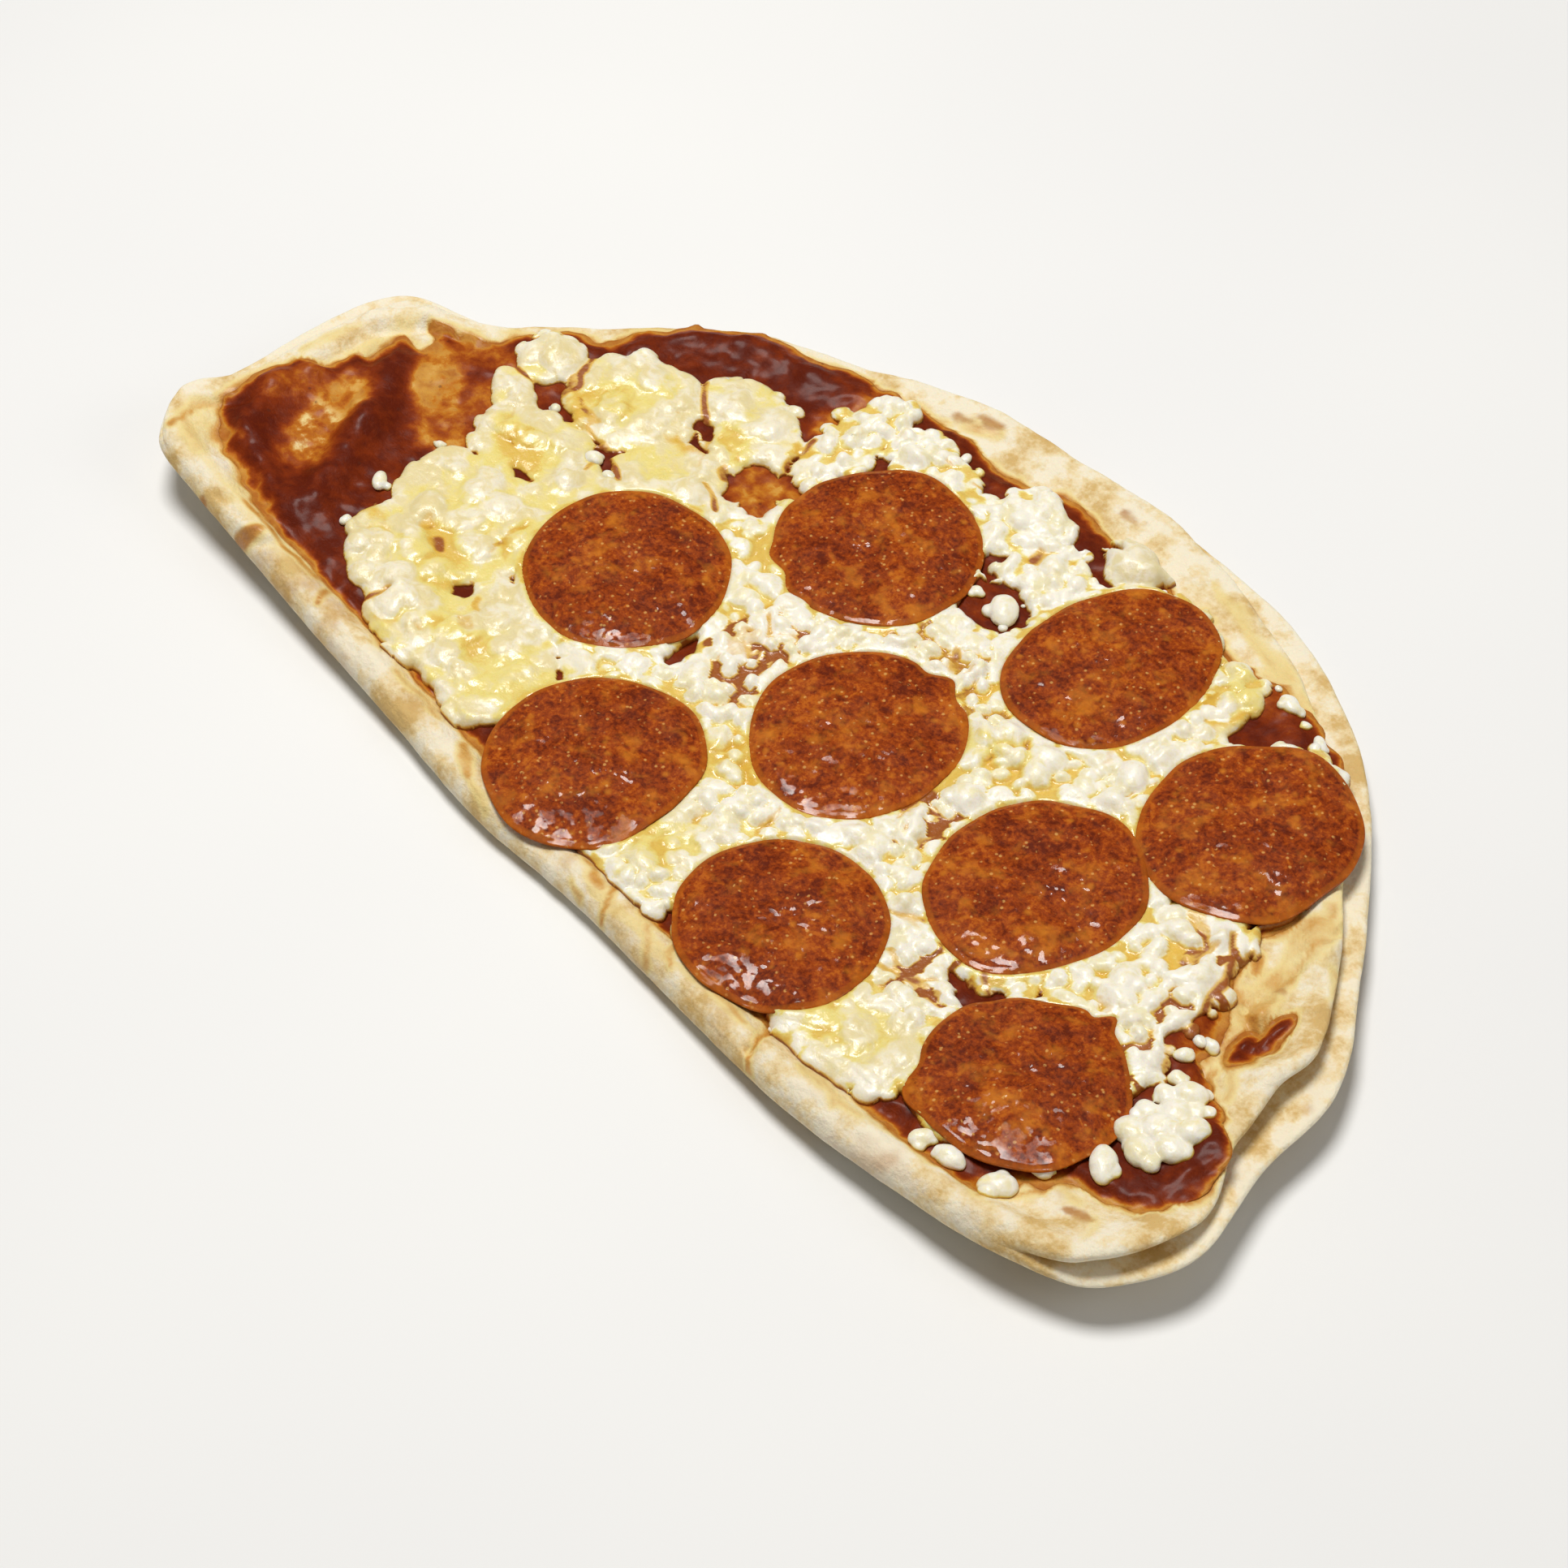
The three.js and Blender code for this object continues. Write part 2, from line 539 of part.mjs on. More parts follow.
// A slice of pepperoni: a thin disc that follows the dish, with its rim curled up a little.
function sliceGeometry([cx, cy, rx, ry], number) {
  const mesh = new MeshBuilder();
  const place = (ring, i, lift) => {
    const a = (2 * Math.PI * i) / SLICE_STEPS;
    let uneven = 1;
    for (const [waves, share, shift] of SLICE_WAVES) {
      uneven += share * Math.sin(waves * a + shift * number);
    }
    const x = cx + rx * ring * uneven * Math.cos(a);
    const y = cy + ry * ring * uneven * Math.sin(a);
    const curl = SLICE_CUP * ring ** 4 * (0.5 + 0.5 * Math.sin(2 * a + 1.7 * number));
    return mesh.vertex(x, y, sliceBed(x, y) + curl + lift);
  };
  const ringAt = (ring, lift) =>
    Array.from({ length: SLICE_STEPS }, (_, i) => place(ring, i, lift));
  const under = SLICE_RINGS.map((ring) => ringAt(ring, 0));
  const over = SLICE_RINGS.map((ring) => ringAt(Math.min(ring, SLICE_TOP_RIM), SLICE)).reverse();
  const rings = [[place(0, 0, 0)], ...under, ...over, [place(0, 0, SLICE)]];
  rings.slice(1).forEach((ring, i) => mesh.band(rings[i], ring));
  return mesh.geometry();
}

// ---------------------------------------------------------------- the group
const dough = new THREE.MeshStandardMaterial({ color: 0xe9d3a0, roughness: 0.75 });
const tomato = new THREE.MeshStandardMaterial({ color: 0x7a2413, roughness: 0.35 });
const melted = new THREE.MeshStandardMaterial({ color: 0xefe3b4, roughness: 0.4 });
const cured = new THREE.MeshStandardMaterial({ color: 0xa63f1c, roughness: 0.35 });

function piece(name, geometry, material) {
  const mesh = new THREE.Mesh(geometry, material);
  mesh.name = name;
  return mesh;
}

const pizza = new THREE.Group();
pizza.add(piece('crepe', crepeGeometry(), dough));
pizza.add(piece('sauce', toGeometry(sauceGeometry()), tomato));
pizza.add(piece('cheese', cheeseGeometry(), melted));
SLICES.forEach((slice, i) => {
  pizza.add(piece(`pepperoni_${i + 1}`, sliceGeometry(slice, i + 1), cured));
});

// The origin goes to the middle of the base.
const box = new THREE.Box3().setFromObject(pizza);
pizza.position.set(-(box.min.x + box.max.x) / 2, -(box.min.y + box.max.y) / 2, -box.min.z);

export default pizza;
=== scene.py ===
# %% [markdown]
# # A folded crepe pizza
# A round crepe is folded in half, spread with tomato sauce, and baked with cheese and nine
# slices of pepperoni. The frame holds the plain solids at their real size and place. Here each
# of them gets its real surface: a puffed and creased crepe, sauce that dries to a dark skin,
# cheese that is smooth where it melted and lumpy where it didn't, and oily slices.
#
# The work is done in millimetres in a plan: x runs along the fold, y from the fold to the round
# edge, and z up from the base. One function turns the plan into the frame's metres.

# %% Load the frame
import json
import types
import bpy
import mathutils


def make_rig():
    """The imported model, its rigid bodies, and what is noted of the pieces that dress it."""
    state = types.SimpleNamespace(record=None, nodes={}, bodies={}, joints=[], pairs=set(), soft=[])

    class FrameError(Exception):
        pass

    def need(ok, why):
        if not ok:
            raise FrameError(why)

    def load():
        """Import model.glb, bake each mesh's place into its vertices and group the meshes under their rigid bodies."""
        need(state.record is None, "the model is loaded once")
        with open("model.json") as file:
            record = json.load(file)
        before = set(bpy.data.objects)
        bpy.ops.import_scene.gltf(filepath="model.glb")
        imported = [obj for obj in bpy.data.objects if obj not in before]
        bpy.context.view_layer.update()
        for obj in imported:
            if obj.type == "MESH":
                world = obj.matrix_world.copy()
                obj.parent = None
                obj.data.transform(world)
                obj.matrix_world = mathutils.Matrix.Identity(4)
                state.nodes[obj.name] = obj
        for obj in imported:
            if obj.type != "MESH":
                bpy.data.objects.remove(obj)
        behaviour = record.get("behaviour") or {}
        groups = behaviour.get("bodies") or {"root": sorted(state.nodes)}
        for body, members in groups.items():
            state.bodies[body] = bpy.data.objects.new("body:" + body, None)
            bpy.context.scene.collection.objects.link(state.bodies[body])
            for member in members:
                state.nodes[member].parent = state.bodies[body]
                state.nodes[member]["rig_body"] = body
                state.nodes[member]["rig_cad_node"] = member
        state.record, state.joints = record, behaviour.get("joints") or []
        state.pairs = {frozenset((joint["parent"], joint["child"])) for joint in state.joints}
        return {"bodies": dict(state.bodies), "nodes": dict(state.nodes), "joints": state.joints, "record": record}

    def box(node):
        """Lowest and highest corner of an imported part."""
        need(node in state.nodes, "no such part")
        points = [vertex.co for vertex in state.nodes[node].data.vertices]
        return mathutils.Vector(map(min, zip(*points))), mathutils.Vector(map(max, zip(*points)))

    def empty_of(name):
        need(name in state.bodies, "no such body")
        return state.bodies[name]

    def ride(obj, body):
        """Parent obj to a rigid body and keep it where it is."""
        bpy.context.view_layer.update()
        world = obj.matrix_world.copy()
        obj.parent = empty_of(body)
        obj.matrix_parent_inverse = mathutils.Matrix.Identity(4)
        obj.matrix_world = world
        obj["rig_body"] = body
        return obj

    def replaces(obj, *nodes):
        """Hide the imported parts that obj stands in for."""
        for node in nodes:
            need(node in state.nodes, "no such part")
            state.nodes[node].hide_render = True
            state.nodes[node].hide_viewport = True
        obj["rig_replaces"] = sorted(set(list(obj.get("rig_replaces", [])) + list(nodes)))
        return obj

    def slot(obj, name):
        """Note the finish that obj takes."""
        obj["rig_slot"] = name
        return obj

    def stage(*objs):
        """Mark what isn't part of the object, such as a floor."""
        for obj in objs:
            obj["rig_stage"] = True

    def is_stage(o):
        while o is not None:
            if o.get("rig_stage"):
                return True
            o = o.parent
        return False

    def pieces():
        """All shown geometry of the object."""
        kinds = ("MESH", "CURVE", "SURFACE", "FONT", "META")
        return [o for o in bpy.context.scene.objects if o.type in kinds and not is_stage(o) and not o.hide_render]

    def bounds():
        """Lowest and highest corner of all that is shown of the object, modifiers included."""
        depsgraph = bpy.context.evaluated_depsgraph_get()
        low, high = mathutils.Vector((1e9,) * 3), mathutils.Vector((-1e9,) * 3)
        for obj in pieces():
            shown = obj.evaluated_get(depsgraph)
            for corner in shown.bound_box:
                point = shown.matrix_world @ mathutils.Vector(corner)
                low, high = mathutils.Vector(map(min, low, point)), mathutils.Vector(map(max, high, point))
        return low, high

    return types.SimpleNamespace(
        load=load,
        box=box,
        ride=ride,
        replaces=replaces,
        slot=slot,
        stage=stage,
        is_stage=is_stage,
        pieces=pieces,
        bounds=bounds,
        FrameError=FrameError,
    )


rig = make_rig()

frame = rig.load()
import json
import bpy
import bmesh
import numpy as np
from mathutils import Matrix, Vector

cad_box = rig.bounds()
print("frame nodes:", ", ".join(sorted(frame["nodes"])))

# %% [markdown]
# ## The numbers that the frame was built from
# The same outline, dish and places as in the solids, so that each new surface lies where its
# solid lies. Every list is in millimetres in the plan.

# %% Driving dimensions
CREPE_RADIUS = 139  # the crepe before it was folded
CREPE_CENTRE_Y = -51
BASIN_HEIGHT = 4.4  # both layers, under the toppings
FOLD_HEIGHT = 7.2  # the puffed roll along the fold
FOLD_ROLL, FOLD_CREST = 10, 4.5  # how far in the roll reaches, and where it is highest
FOLD_FROM, FOLD_TO = -46, -53  # the outline turns from free edge to fold between these y
RIM_SLOPE = 11  # width of the slope from the free rim down to the basin
RIM_BEAD, RIM_BEAD_AT = 0.5, 4  # the bead along the free rim: height, and place and width
DISH_RISE, DISH_REACH, DISH_FLAT = 11, 150, 30
SAUCE = 1.5  # top of the sauce over the bare crepe
CHEESE_BASE = 6.2  # where the cheese starts, over the dish
SLICE_BED = 7.75  # underside of the slices, over the dish

RIM_WAVES = [  # how far the rim departs from the circle: [degrees from the right end, mm]
    [4, -9.2], [9, -2.9], [19, -2.6], [27, 2.6], [38, 1.6], [48, 3.4], [58, 6.5], [71, 6.4],
    [81, 3.4], [87, 2], [97, 0.7], [105, 1.8], [116, -0.2], [127, 2.2], [139, -0.4], [148, 1.6],
    [151.5, 7.2], [154.5, 13.2], [158, 14.2], [165, 9.2], [170.5, 5.6], [176, 4.8],
]
FOLD_LINE = [
    [-134.6, -51], [-120, -52.6], [-90, -54.4], [-45, -56.8], [-20, -58.5], [0, -57], [28, -57.4],
    [60, -58.6], [90, -56], [111.6, -52.4], [125, -46.8],
]
LAYERS_PART = [  # how the layers part round the free edge: [degrees, setback, gap]
    [0, 1.2, 1], [3, 2.4, 2.6], [8, 3.4, 2.8], [13, 2.8, 1], [19, 5.5, 2.4], [24, 7.5, 3.4],
    [29, 5, 2.8], [37, 4, 1.2], [46, 5, 0.7], [58, 6.5, 0.6], [72, 5.5, 0.6], [80, 2.5, 0.5],
    [86, 1, 0.5], [145, 1, 0.5], [152, 3, 0.7], [158, 5, 0.8], [168, 4, 0.7], [176, 1.2, 0.6],
    [180, 1, 0.5],
]
SAUCE_SETBACK = [  # how far the sauce stops short of the outline: [degrees round the dish, mm]
    [-158, 7.8], [-155, 6.8], [-152, 7.2], [-148, 8], [-142, 8.8], [-134, 9], [-91, 7.4], [-69, 6.6],
    [-56, 7], [-45, 9], [-35, 9.2], [-31, 8], [-28, 6.9], [-25.5, 6.7], [-23, 9.5], [-20.3, 13.8],
    [-17, 18], [-15.4, 15.2], [-13.8, 10.8], [-12, 7.8], [-8.6, 5], [-5.5, 4.5], [-4, 9], [-1.6, 16],
    [0, 21], [6, 21.5], [10, 22], [14.6, 18], [20, 12.8], [28, 8], [41, 5.2], [45, 7], [52, 9.4],
    [55.5, 13], [58, 15.4], [68, 14], [76, 12.5], [85, 12.4], [94.4, 10], [103, 12.4], [110, 13.4],
    [118, 10.8], [122.5, 7.6], [127.6, 7], [132, 5], [137.6, 3.6], [142.6, 2], [149.6, 1.7], [157, 3.8],
    [161, 6.6], [164, 4.2], [168.4, 5.4], [171.3, 8], [174.5, 8.4], [178, 14.4], [181.4, 16.4],
    [185.3, 12.4], [188, 7.4], [191, 6], [194.3, 8.8], [196.7, 11.8], [199.4, 9.4], [202, 7.8],
]
print(f"a crepe {2 * CREPE_RADIUS} mm across, with {len(RIM_WAVES)} waves round its free rim")

# %% [markdown]
# ## Small helpers
# Blender's Python has numpy, so a whole surface can be worked out at once: each helper takes
# arrays of x and y and gives back an array. The random values come from whole-number arithmetic
# on a cell's place, so every run gives the same pizza.

# %% Blending, and reading a table
def mix(a, b, t):
    return a + (b - a) * t


def smooth(low, high, x):
    """Rises gently from 0 at low to 1 at high."""
    t = np.clip((x - low) / (high - low), 0, 1)
    return t * t * (3 - 2 * t)


def table_at(table, position, column=1):
    """Reads a table whose rows start with a position, with smooth steps between its rows."""
    rows = np.array(table, float)
    after = np.clip(np.searchsorted(rows[:, 0], position, side="right"), 1, len(rows) - 1)
    low, high = rows[after - 1], rows[after]
    return mix(low[..., column], high[..., column], smooth(low[..., 0], high[..., 0], position))


print("halfway up a gentle rise:", smooth(0, 1, 0.5))

# %% Random hills
HASH_MASK = 0xFFFFFFFF  # keeps the whole numbers to 32 bits


def cell_value(i, j, seed):
    """A repeatable value from 0 to 1 for each cell of a grid."""
    h = (i * 374761393 + j * 668265263 + seed * 974634777) & HASH_MASK
    h = ((h ^ (h >> 13)) * 1274126177) & HASH_MASK
    h = ((h ^ (h >> 15)) * 2246822519) & HASH_MASK
    return ((h ^ (h >> 16)) & 0xFFFFFF) / 0x1000000


GRID_COS, GRID_SIN = 0.8, 0.6  # the grid of hills is turned, so it never lies along the fold
FINER_COS, FINER_SIN = 0.98, 0.2  # and the smaller hills are turned against the larger
FINER_SIZE = 0.47  # the size of each next set of hills, as a share of the one before
FRACTAL_RANGE = 1.6  # what the heights are divided by, to come back to about -1 to 1


def noise(x, y, size, seed):
    """Soft random hills from -1 to 1, about as wide as size."""
    u, v = (x * GRID_COS - y * GRID_SIN) / size, (x * GRID_SIN + y * GRID_COS) / size
    i, j = np.floor(u).astype(np.int64), np.floor(v).astype(np.int64)
    a, b = smooth(0, 1, u - i), smooth(0, 1, v - j)
    low = mix(cell_value(i, j, seed), cell_value(i + 1, j, seed), a)
    high = mix(cell_value(i, j + 1, seed), cell_value(i + 1, j + 1, seed), a)
    return 2 * mix(low, high, b) - 1


def fractal(x, y, size, seed, octaves=3):
    """Hills with smaller hills on them."""
    total = 0
    across, along = y * FINER_COS + x * FINER_SIN, x * FINER_COS - y * FINER_SIN
    for octave in range(octaves):
        total = total + noise(across, along, size, seed + octave) / 2**octave
        size = size * FINER_SIZE
    return total / FRACTAL_RANGE


def soft_max(a, b, width):
    """The larger of two heights, with the crease between them rounded over this width."""
    h = np.clip(0.5 + 0.5 * (a - b) / width, 0, 1)
    return b + (a - b) * h + width * h * (1 - h)


print("hills along a line:", np.round(noise(np.arange(5.0), np.zeros(5), 2.0, 1), 2))

# %% Helpers for places
def turned(x, y, cx, cy, degrees):
    """Places as seen from a middle point, along and across a direction."""
    a = np.radians(degrees)
    along = (x - cx) * np.cos(a) + (y - cy) * np.sin(a)
    across = (y - cy) * np.cos(a) - (x - cx) * np.sin(a)
    return along, across


def ellipse_inset(ellipse, x, y):
    """How far inside a turned ellipse a place lies, in mm. Negative outside it."""
    cx, cy, rx, ry, degrees = ellipse[:5]
    along, across = turned(x, y, cx, cy, degrees)
    share = np.maximum(np.hypot(along / rx, across / ry), 1e-6)
    return (1 - share) * np.hypot(along, across) / share


def line_distance(line, x, y):
    """How far a place lies from a line from one point to another, in mm."""
    x0, y0, x1, y1 = line[:4]
    dx, dy = x1 - x0, y1 - y0
    t = np.clip(((x - x0) * dx + (y - y0) * dy) / (dx * dx + dy * dy), 0, 1)
    return np.hypot(x - x0 - dx * t, y - y0 - dy * t)


def ridges(lines, x, y):
    """The height that a list of rounded ridges adds. Each: [x, y, to x, to y, width, height]."""
    height = np.zeros_like(x)
    for line in lines:
        height += line[5] * np.exp(-((line_distance(line, x, y) / line[4]) ** 2))
    return height


def spots(ellipses, x, y, soft=1.0):
    """Fields of colour or height with soft edges. Each: [x, y, rx, ry, turn, amount]."""
    amount = np.zeros_like(x)
    for ellipse in ellipses:
        amount = np.maximum(amount, ellipse[5] * smooth(-soft, soft, ellipse_inset(ellipse, x, y)))
    return amount


print("the amount of a spot of 4 mm, from its middle outwards:",
      spots([[0, 0, 4, 4, 0, 1.0]], np.arange(0.5, 6.0, 1.0), np.zeros(6)))

# %% Lumps that touch
BALL_PLACE, BALL_WANDER = 0.15, 0.7  # a ball's middle lies this share into its cell, and so much more
BALL_LEAST, BALL_MORE = 0.42, 0.34  # its radius as a share of the cell, and how much more it may be
BALL_SQUASH = 1.35  # a ball is longer than it is wide
BALL_SUNK, BALL_LIFT = 0.42, 0.1  # how deep the middles lie, and how much that differs
BALL_FOOT, BALL_FOOT_FROM = 0.35, 0.9  # outside its rim, a ball goes on as a slope


def balls(x, y, size, seed, melt):
    """The tops of round lumps, one in each cell, in mm. melt rounds the creases between them."""
    ci, cj = np.floor(x / size).astype(np.int64), np.floor(y / size).astype(np.int64)
    top = np.full_like(x, -0.4 * size)
    for di in (-1, 0, 1):
        for dj in (-1, 0, 1):
            i, j = ci + di, cj + dj
            px = (i + BALL_PLACE + BALL_WANDER * cell_value(i, j, seed)) * size
            py = (j + BALL_PLACE + BALL_WANDER * cell_value(i, j, seed + 1)) * size
            radius = size * (BALL_LEAST + BALL_MORE * cell_value(i, j, seed + 2))
            turn = np.pi * cell_value(i, j, seed + 3)
            along = (x - px) * np.cos(turn) + (y - py) * np.sin(turn)
            across = (y - py) * np.cos(turn) - (x - px) * np.sin(turn)
            reach = np.hypot(along, across * BALL_SQUASH) / radius
            foot = BALL_FOOT * np.clip(reach - BALL_FOOT_FROM, 0, 1)
            dome = radius * (np.sqrt(np.clip(1 - reach**2, 0, 1)) - foot)
            top = soft_max(top, dome - BALL_SUNK * size + BALL_LIFT * size * turn / np.pi, melt)
    return top


line = np.arange(0.0, 60.0, 0.5)
print(f"lumps of 6 mm rise and fall by {np.ptp(balls(line, 0 * line, 6.0, 1, 0.3)):.1f} mm")

# %% [markdown]
# ## The outline and the dish
# The crepe's outline is a closed curve through the fold line and the wavy rim. A smooth curve
# through a few points could be a Blender curve, but the other surfaces must know how far inside
# the rim they are, so it is worked out here, and kept on a grid of one millimetre.

# %% The outline: smooth closed lines
SPLINE_STEPS = 40  # points between two corners, before they are spaced evenly


def evenly_spaced(points, count):
    """So many points along a closed line, at equal steps."""
    closed = np.vstack([points, points[:1]])
    walked = np.concatenate([[0], np.cumsum(np.linalg.norm(np.diff(closed, axis=0), axis=1))])
    steps = np.linspace(0, walked[-1], count, endpoint=False)
    return np.stack([np.interp(steps, walked, closed[:, k]) for k in range(closed.shape[1])], 1)


def closed_spline(corners, count):
    """A smooth closed line through its corners: a centripetal Catmull-Rom curve."""
    p = np.array(corners, float)
    before, after, beyond = np.roll(p, 1, 0), np.roll(p, -1, 0), np.roll(p, -2, 0)
    d0, d1, d2 = (
        np.sqrt(np.linalg.norm(b - a, axis=1))[:, None]
        for a, b in ((before, p), (p, after), (after, beyond))
    )
    leave = ((p - before) / d0 - (after - before) / (d0 + d1) + (after - p) / d1) * d1
    arrive = ((after - p) / d1 - (beyond - p) / (d1 + d2) + (beyond - after) / d2) * d1
    t = np.linspace(0, 1, SPLINE_STEPS, endpoint=False)[None, :, None]
    p, after, leave, arrive = (v[:, None, :] for v in (p, after, leave, arrive))
    fine = p * (1 - 3 * t**2 + 2 * t**3) + leave * (t - 2 * t**2 + t**3)
    fine = fine + after * (3 * t**2 - 2 * t**3) + arrive * (t**3 - t**2)
    return evenly_spaced(fine.reshape(-1, 2), count)


def averaged_round(values, half):
    """Each value of a closed line, averaged with its neighbours on both sides."""
    weights = np.hanning(2 * half + 3)[1:-1]
    shifts = range(-half, half + 1)
    total = sum(w * np.roll(values, s, 0) for w, s in zip(weights, shifts))
    return total / weights.sum()


# %% The outline: the crepe's own
EDGE_STEPS = 800
NORMAL_SPREAD = 9  # steps over which the inward direction is averaged


def crepe_outline(count):
    """The outline's points, the way inward at each, and how the layers part there."""
    corners = list(FOLD_LINE)
    for degrees, wave in RIM_WAVES:
        a, r = np.radians(degrees), CREPE_RADIUS + wave
        corners.append([r * np.cos(a), CREPE_CENTRE_Y + r * np.sin(a)])
    points = closed_spline(corners, count)
    along = averaged_round(np.roll(points, -1, 0) - np.roll(points, 1, 0), NORMAL_SPREAD)
    along /= np.linalg.norm(along, axis=1)[:, None]
    x, y = points.T
    degrees = np.degrees(np.arctan2(np.maximum(y - CREPE_CENTRE_Y, 0), x))
    return {
        "x": x, "y": y, "in_x": -along[:, 1], "in_y": along[:, 0],
        "fold": smooth(FOLD_FROM, FOLD_TO, y),
        "setback": table_at(LAYERS_PART, degrees, 1),
        "gap": table_at(LAYERS_PART, degrees, 2),
    }


MM = 0.001
OUTLINE = crepe_outline(EDGE_STEPS)
low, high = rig.box("crepe")
SHIFT_X = 500 * (low.x + high.x) - (OUTLINE["x"].min() + OUTLINE["x"].max()) / 2
SHIFT_Y = 500 * (low.y + high.y) - (OUTLINE["y"].min() + OUTLINE["y"].max()) / 2
print(f"outline {np.ptp(OUTLINE['x']):.1f} x {np.ptp(OUTLINE['y']):.1f} mm,",
      f"plan to frame {SHIFT_X:.2f}, {SHIFT_Y:.2f} mm")

# %% How far inside the outline each place lies
FIELD_LOW, FIELD_SIZE = (-150, -70), (301, 171)  # a grid of 1 mm over the plan
NEAR = 2  # mm: this close to the outline, the distance is measured straight inward


def edge_fields():
    """The distance inside the outline, and what the nearest place on it says."""
    gx, gy = np.meshgrid(
        FIELD_LOW[0] + np.arange(FIELD_SIZE[0]), FIELD_LOW[1] + np.arange(FIELD_SIZE[1]),
        indexing="ij",
    )
    fields = {name: np.zeros(FIELD_SIZE) for name in ("inside", "fold", "setback", "gap")}
    for row in range(FIELD_SIZE[0]):
        dx = gx[row][:, None] - OUTLINE["x"][None]
        dy = gy[row][:, None] - OUTLINE["y"][None]
        near = np.argmin(dx * dx + dy * dy, axis=1)
        pick = np.arange(FIELD_SIZE[1])
        dx, dy = dx[pick, near], dy[pick, near]
        inward = dx * OUTLINE["in_x"][near] + dy * OUTLINE["in_y"][near]
        far = np.hypot(dx, dy)
        fields["inside"][row] = np.where(far < NEAR, inward, np.sign(inward) * far)
        for name in ("fold", "setback", "gap"):
            fields[name][row] = OUTLINE[name][near]
    return fields


FIELDS = edge_fields()


def field_at(name, x, y):
    """Reads a field anywhere by straight lines between the grid's points."""
    u = np.clip(x - FIELD_LOW[0], 0, FIELD_SIZE[0] - 1.001)
    v = np.clip(y - FIELD_LOW[1], 0, FIELD_SIZE[1] - 1.001)
    i, j = u.astype(int), v.astype(int)
    a, b = u - i, v - j
    f = FIELDS[name]
    return mix(mix(f[i, j], f[i + 1, j], a), mix(f[i, j + 1], f[i + 1, j + 1], a), b)


def dish(x, y):
    """The whole pizza is bent: flat in the middle, and rising towards the ends."""
    t = np.maximum(0, np.hypot(x, y) - DISH_FLAT) / (DISH_REACH - DISH_FLAT)
    return DISH_RISE * t * t


print(f"deepest place is {FIELDS['inside'].max():.0f} mm inside the outline")

# %% [markdown]
# ## The crepe's top
# The free rim stands a little proud of the basin, with a bead along its edge, and the fold is a
# puffed roll. Over that go the creases that show on the bare parts, soft hills, and blisters.

# %% Creases and hills of the crepe
CREASES = [  # [x, y, to x, to y, width, height], with grooves as negative heights
    [105, 34, 107, 14, 2.2, 1.5], [107, 14, 115, 24, 2.2, 1.2], [100, 43, 116, 31, 2.2, 0.9],
    [131, -4, 133, -28, 2.4, 0.8], [-129, -2, -131, -16, 2.4, 0.9], [-127, 8, -129, -2, 2.4, 0.7],
    [103.4, 40, 104.6, 26, 1.1, -0.9], [104.6, 26, 103.6, 14, 1.0, -0.9],
    [103.6, 14, 109.5, 10, 1.0, -0.8], [116, 40, 120.5, 24, 1.2, -0.8],
    [112, 2, 120, -9, 2.4, 0.9], [109.5, -2, 116.5, -12, 1.2, -0.7],
    [121, 22, 118, 4, 2.6, 0.7], [118, 4, 127, -14, 2.6, 0.6],
    [112, -38, 126, -38, 4.5, 0.9], [104, -50, 128, -44, 3, 0.6],
    [50.5, -49, 53, -56, 1.1, -1.0], [53, -56, 57, -61, 1.3, -0.9],
    [-107, -56, -100.5, -49.5, 2.1, 1.1], [-103.5, -57, -97.5, -50, 1.2, -0.8],
    [-112, -50, -118, -54, 1.4, -0.6], [-38, -51, -34, -60, 2.2, -0.5],
    [8, -50, 12, -59, 2.6, -0.45], [84, -50, 88, -60, 2.4, -0.4],
    [-132, -33, -137, -40, 1.6, -0.9], [-134, -40, -128, -46, 2, 0.6],
    [-134.5, -16, -135, 2, 2.0, 0.8], [-135, 2, -129, 11.5, 2.0, 0.8],
    [-129, 11.5, -117, 16, 1.8, 0.7], [-131, -14, -131.3, 1, 1.1, -0.8],
    [-131.3, 1, -126.5, 9, 1.1, -0.8], [-126.5, 9, -118, 13, 1.0, -0.6],
    [44, 79, 66, 70, 1.6, -0.4], [70, 71, 90, 54, 1.6, -0.4], [-48, 72, -20, 81, 1.8, -0.35],
]
HILLS, HILLS_SIZE = 0.55, 15  # height and width of the soft hills
PUFFS, PUFFS_SIZE = 0.34, 3.8  # and of the blisters
HILLS_SEED, PUFFS_SEED = 11, 21


def crepe_relief(x, y):
    """Creases, hills and blisters, to be added to any height of the crepe."""
    hills = HILLS * fractal(x, y, HILLS_SIZE, HILLS_SEED, 2)
    hills = hills + PUFFS * fractal(x, y, PUFFS_SIZE, PUFFS_SEED, 2)
    return hills + ridges(CREASES, x, y)


def crepe_top(x, y):
    """The height of the crepe's top over the base."""
    inside, fold = field_at("inside", x, y), field_at("fold", x, y)
    setback, gap = field_at("setback", x, y), field_at("gap", x, y)
    lift = gap * (1 - smooth(setback, setback + RIM_SLOPE, inside))
    bead = RIM_BEAD * np.exp(-(((inside - setback - RIM_BEAD_AT) / RIM_BEAD_AT) ** 2))
    free_rim = BASIN_HEIGHT + lift + bead
    fold_rim = mix(BASIN_HEIGHT, FOLD_HEIGHT, 1 - smooth(FOLD_CREST, FOLD_ROLL, inside))
    return dish(x, y) + mix(free_rim, fold_rim, fold) + crepe_relief(x, y)


print(f"{len(CREASES)} creases; the top is {crepe_top(np.zeros(1), np.zeros(1))[0]:.1f} mm up in the middle")

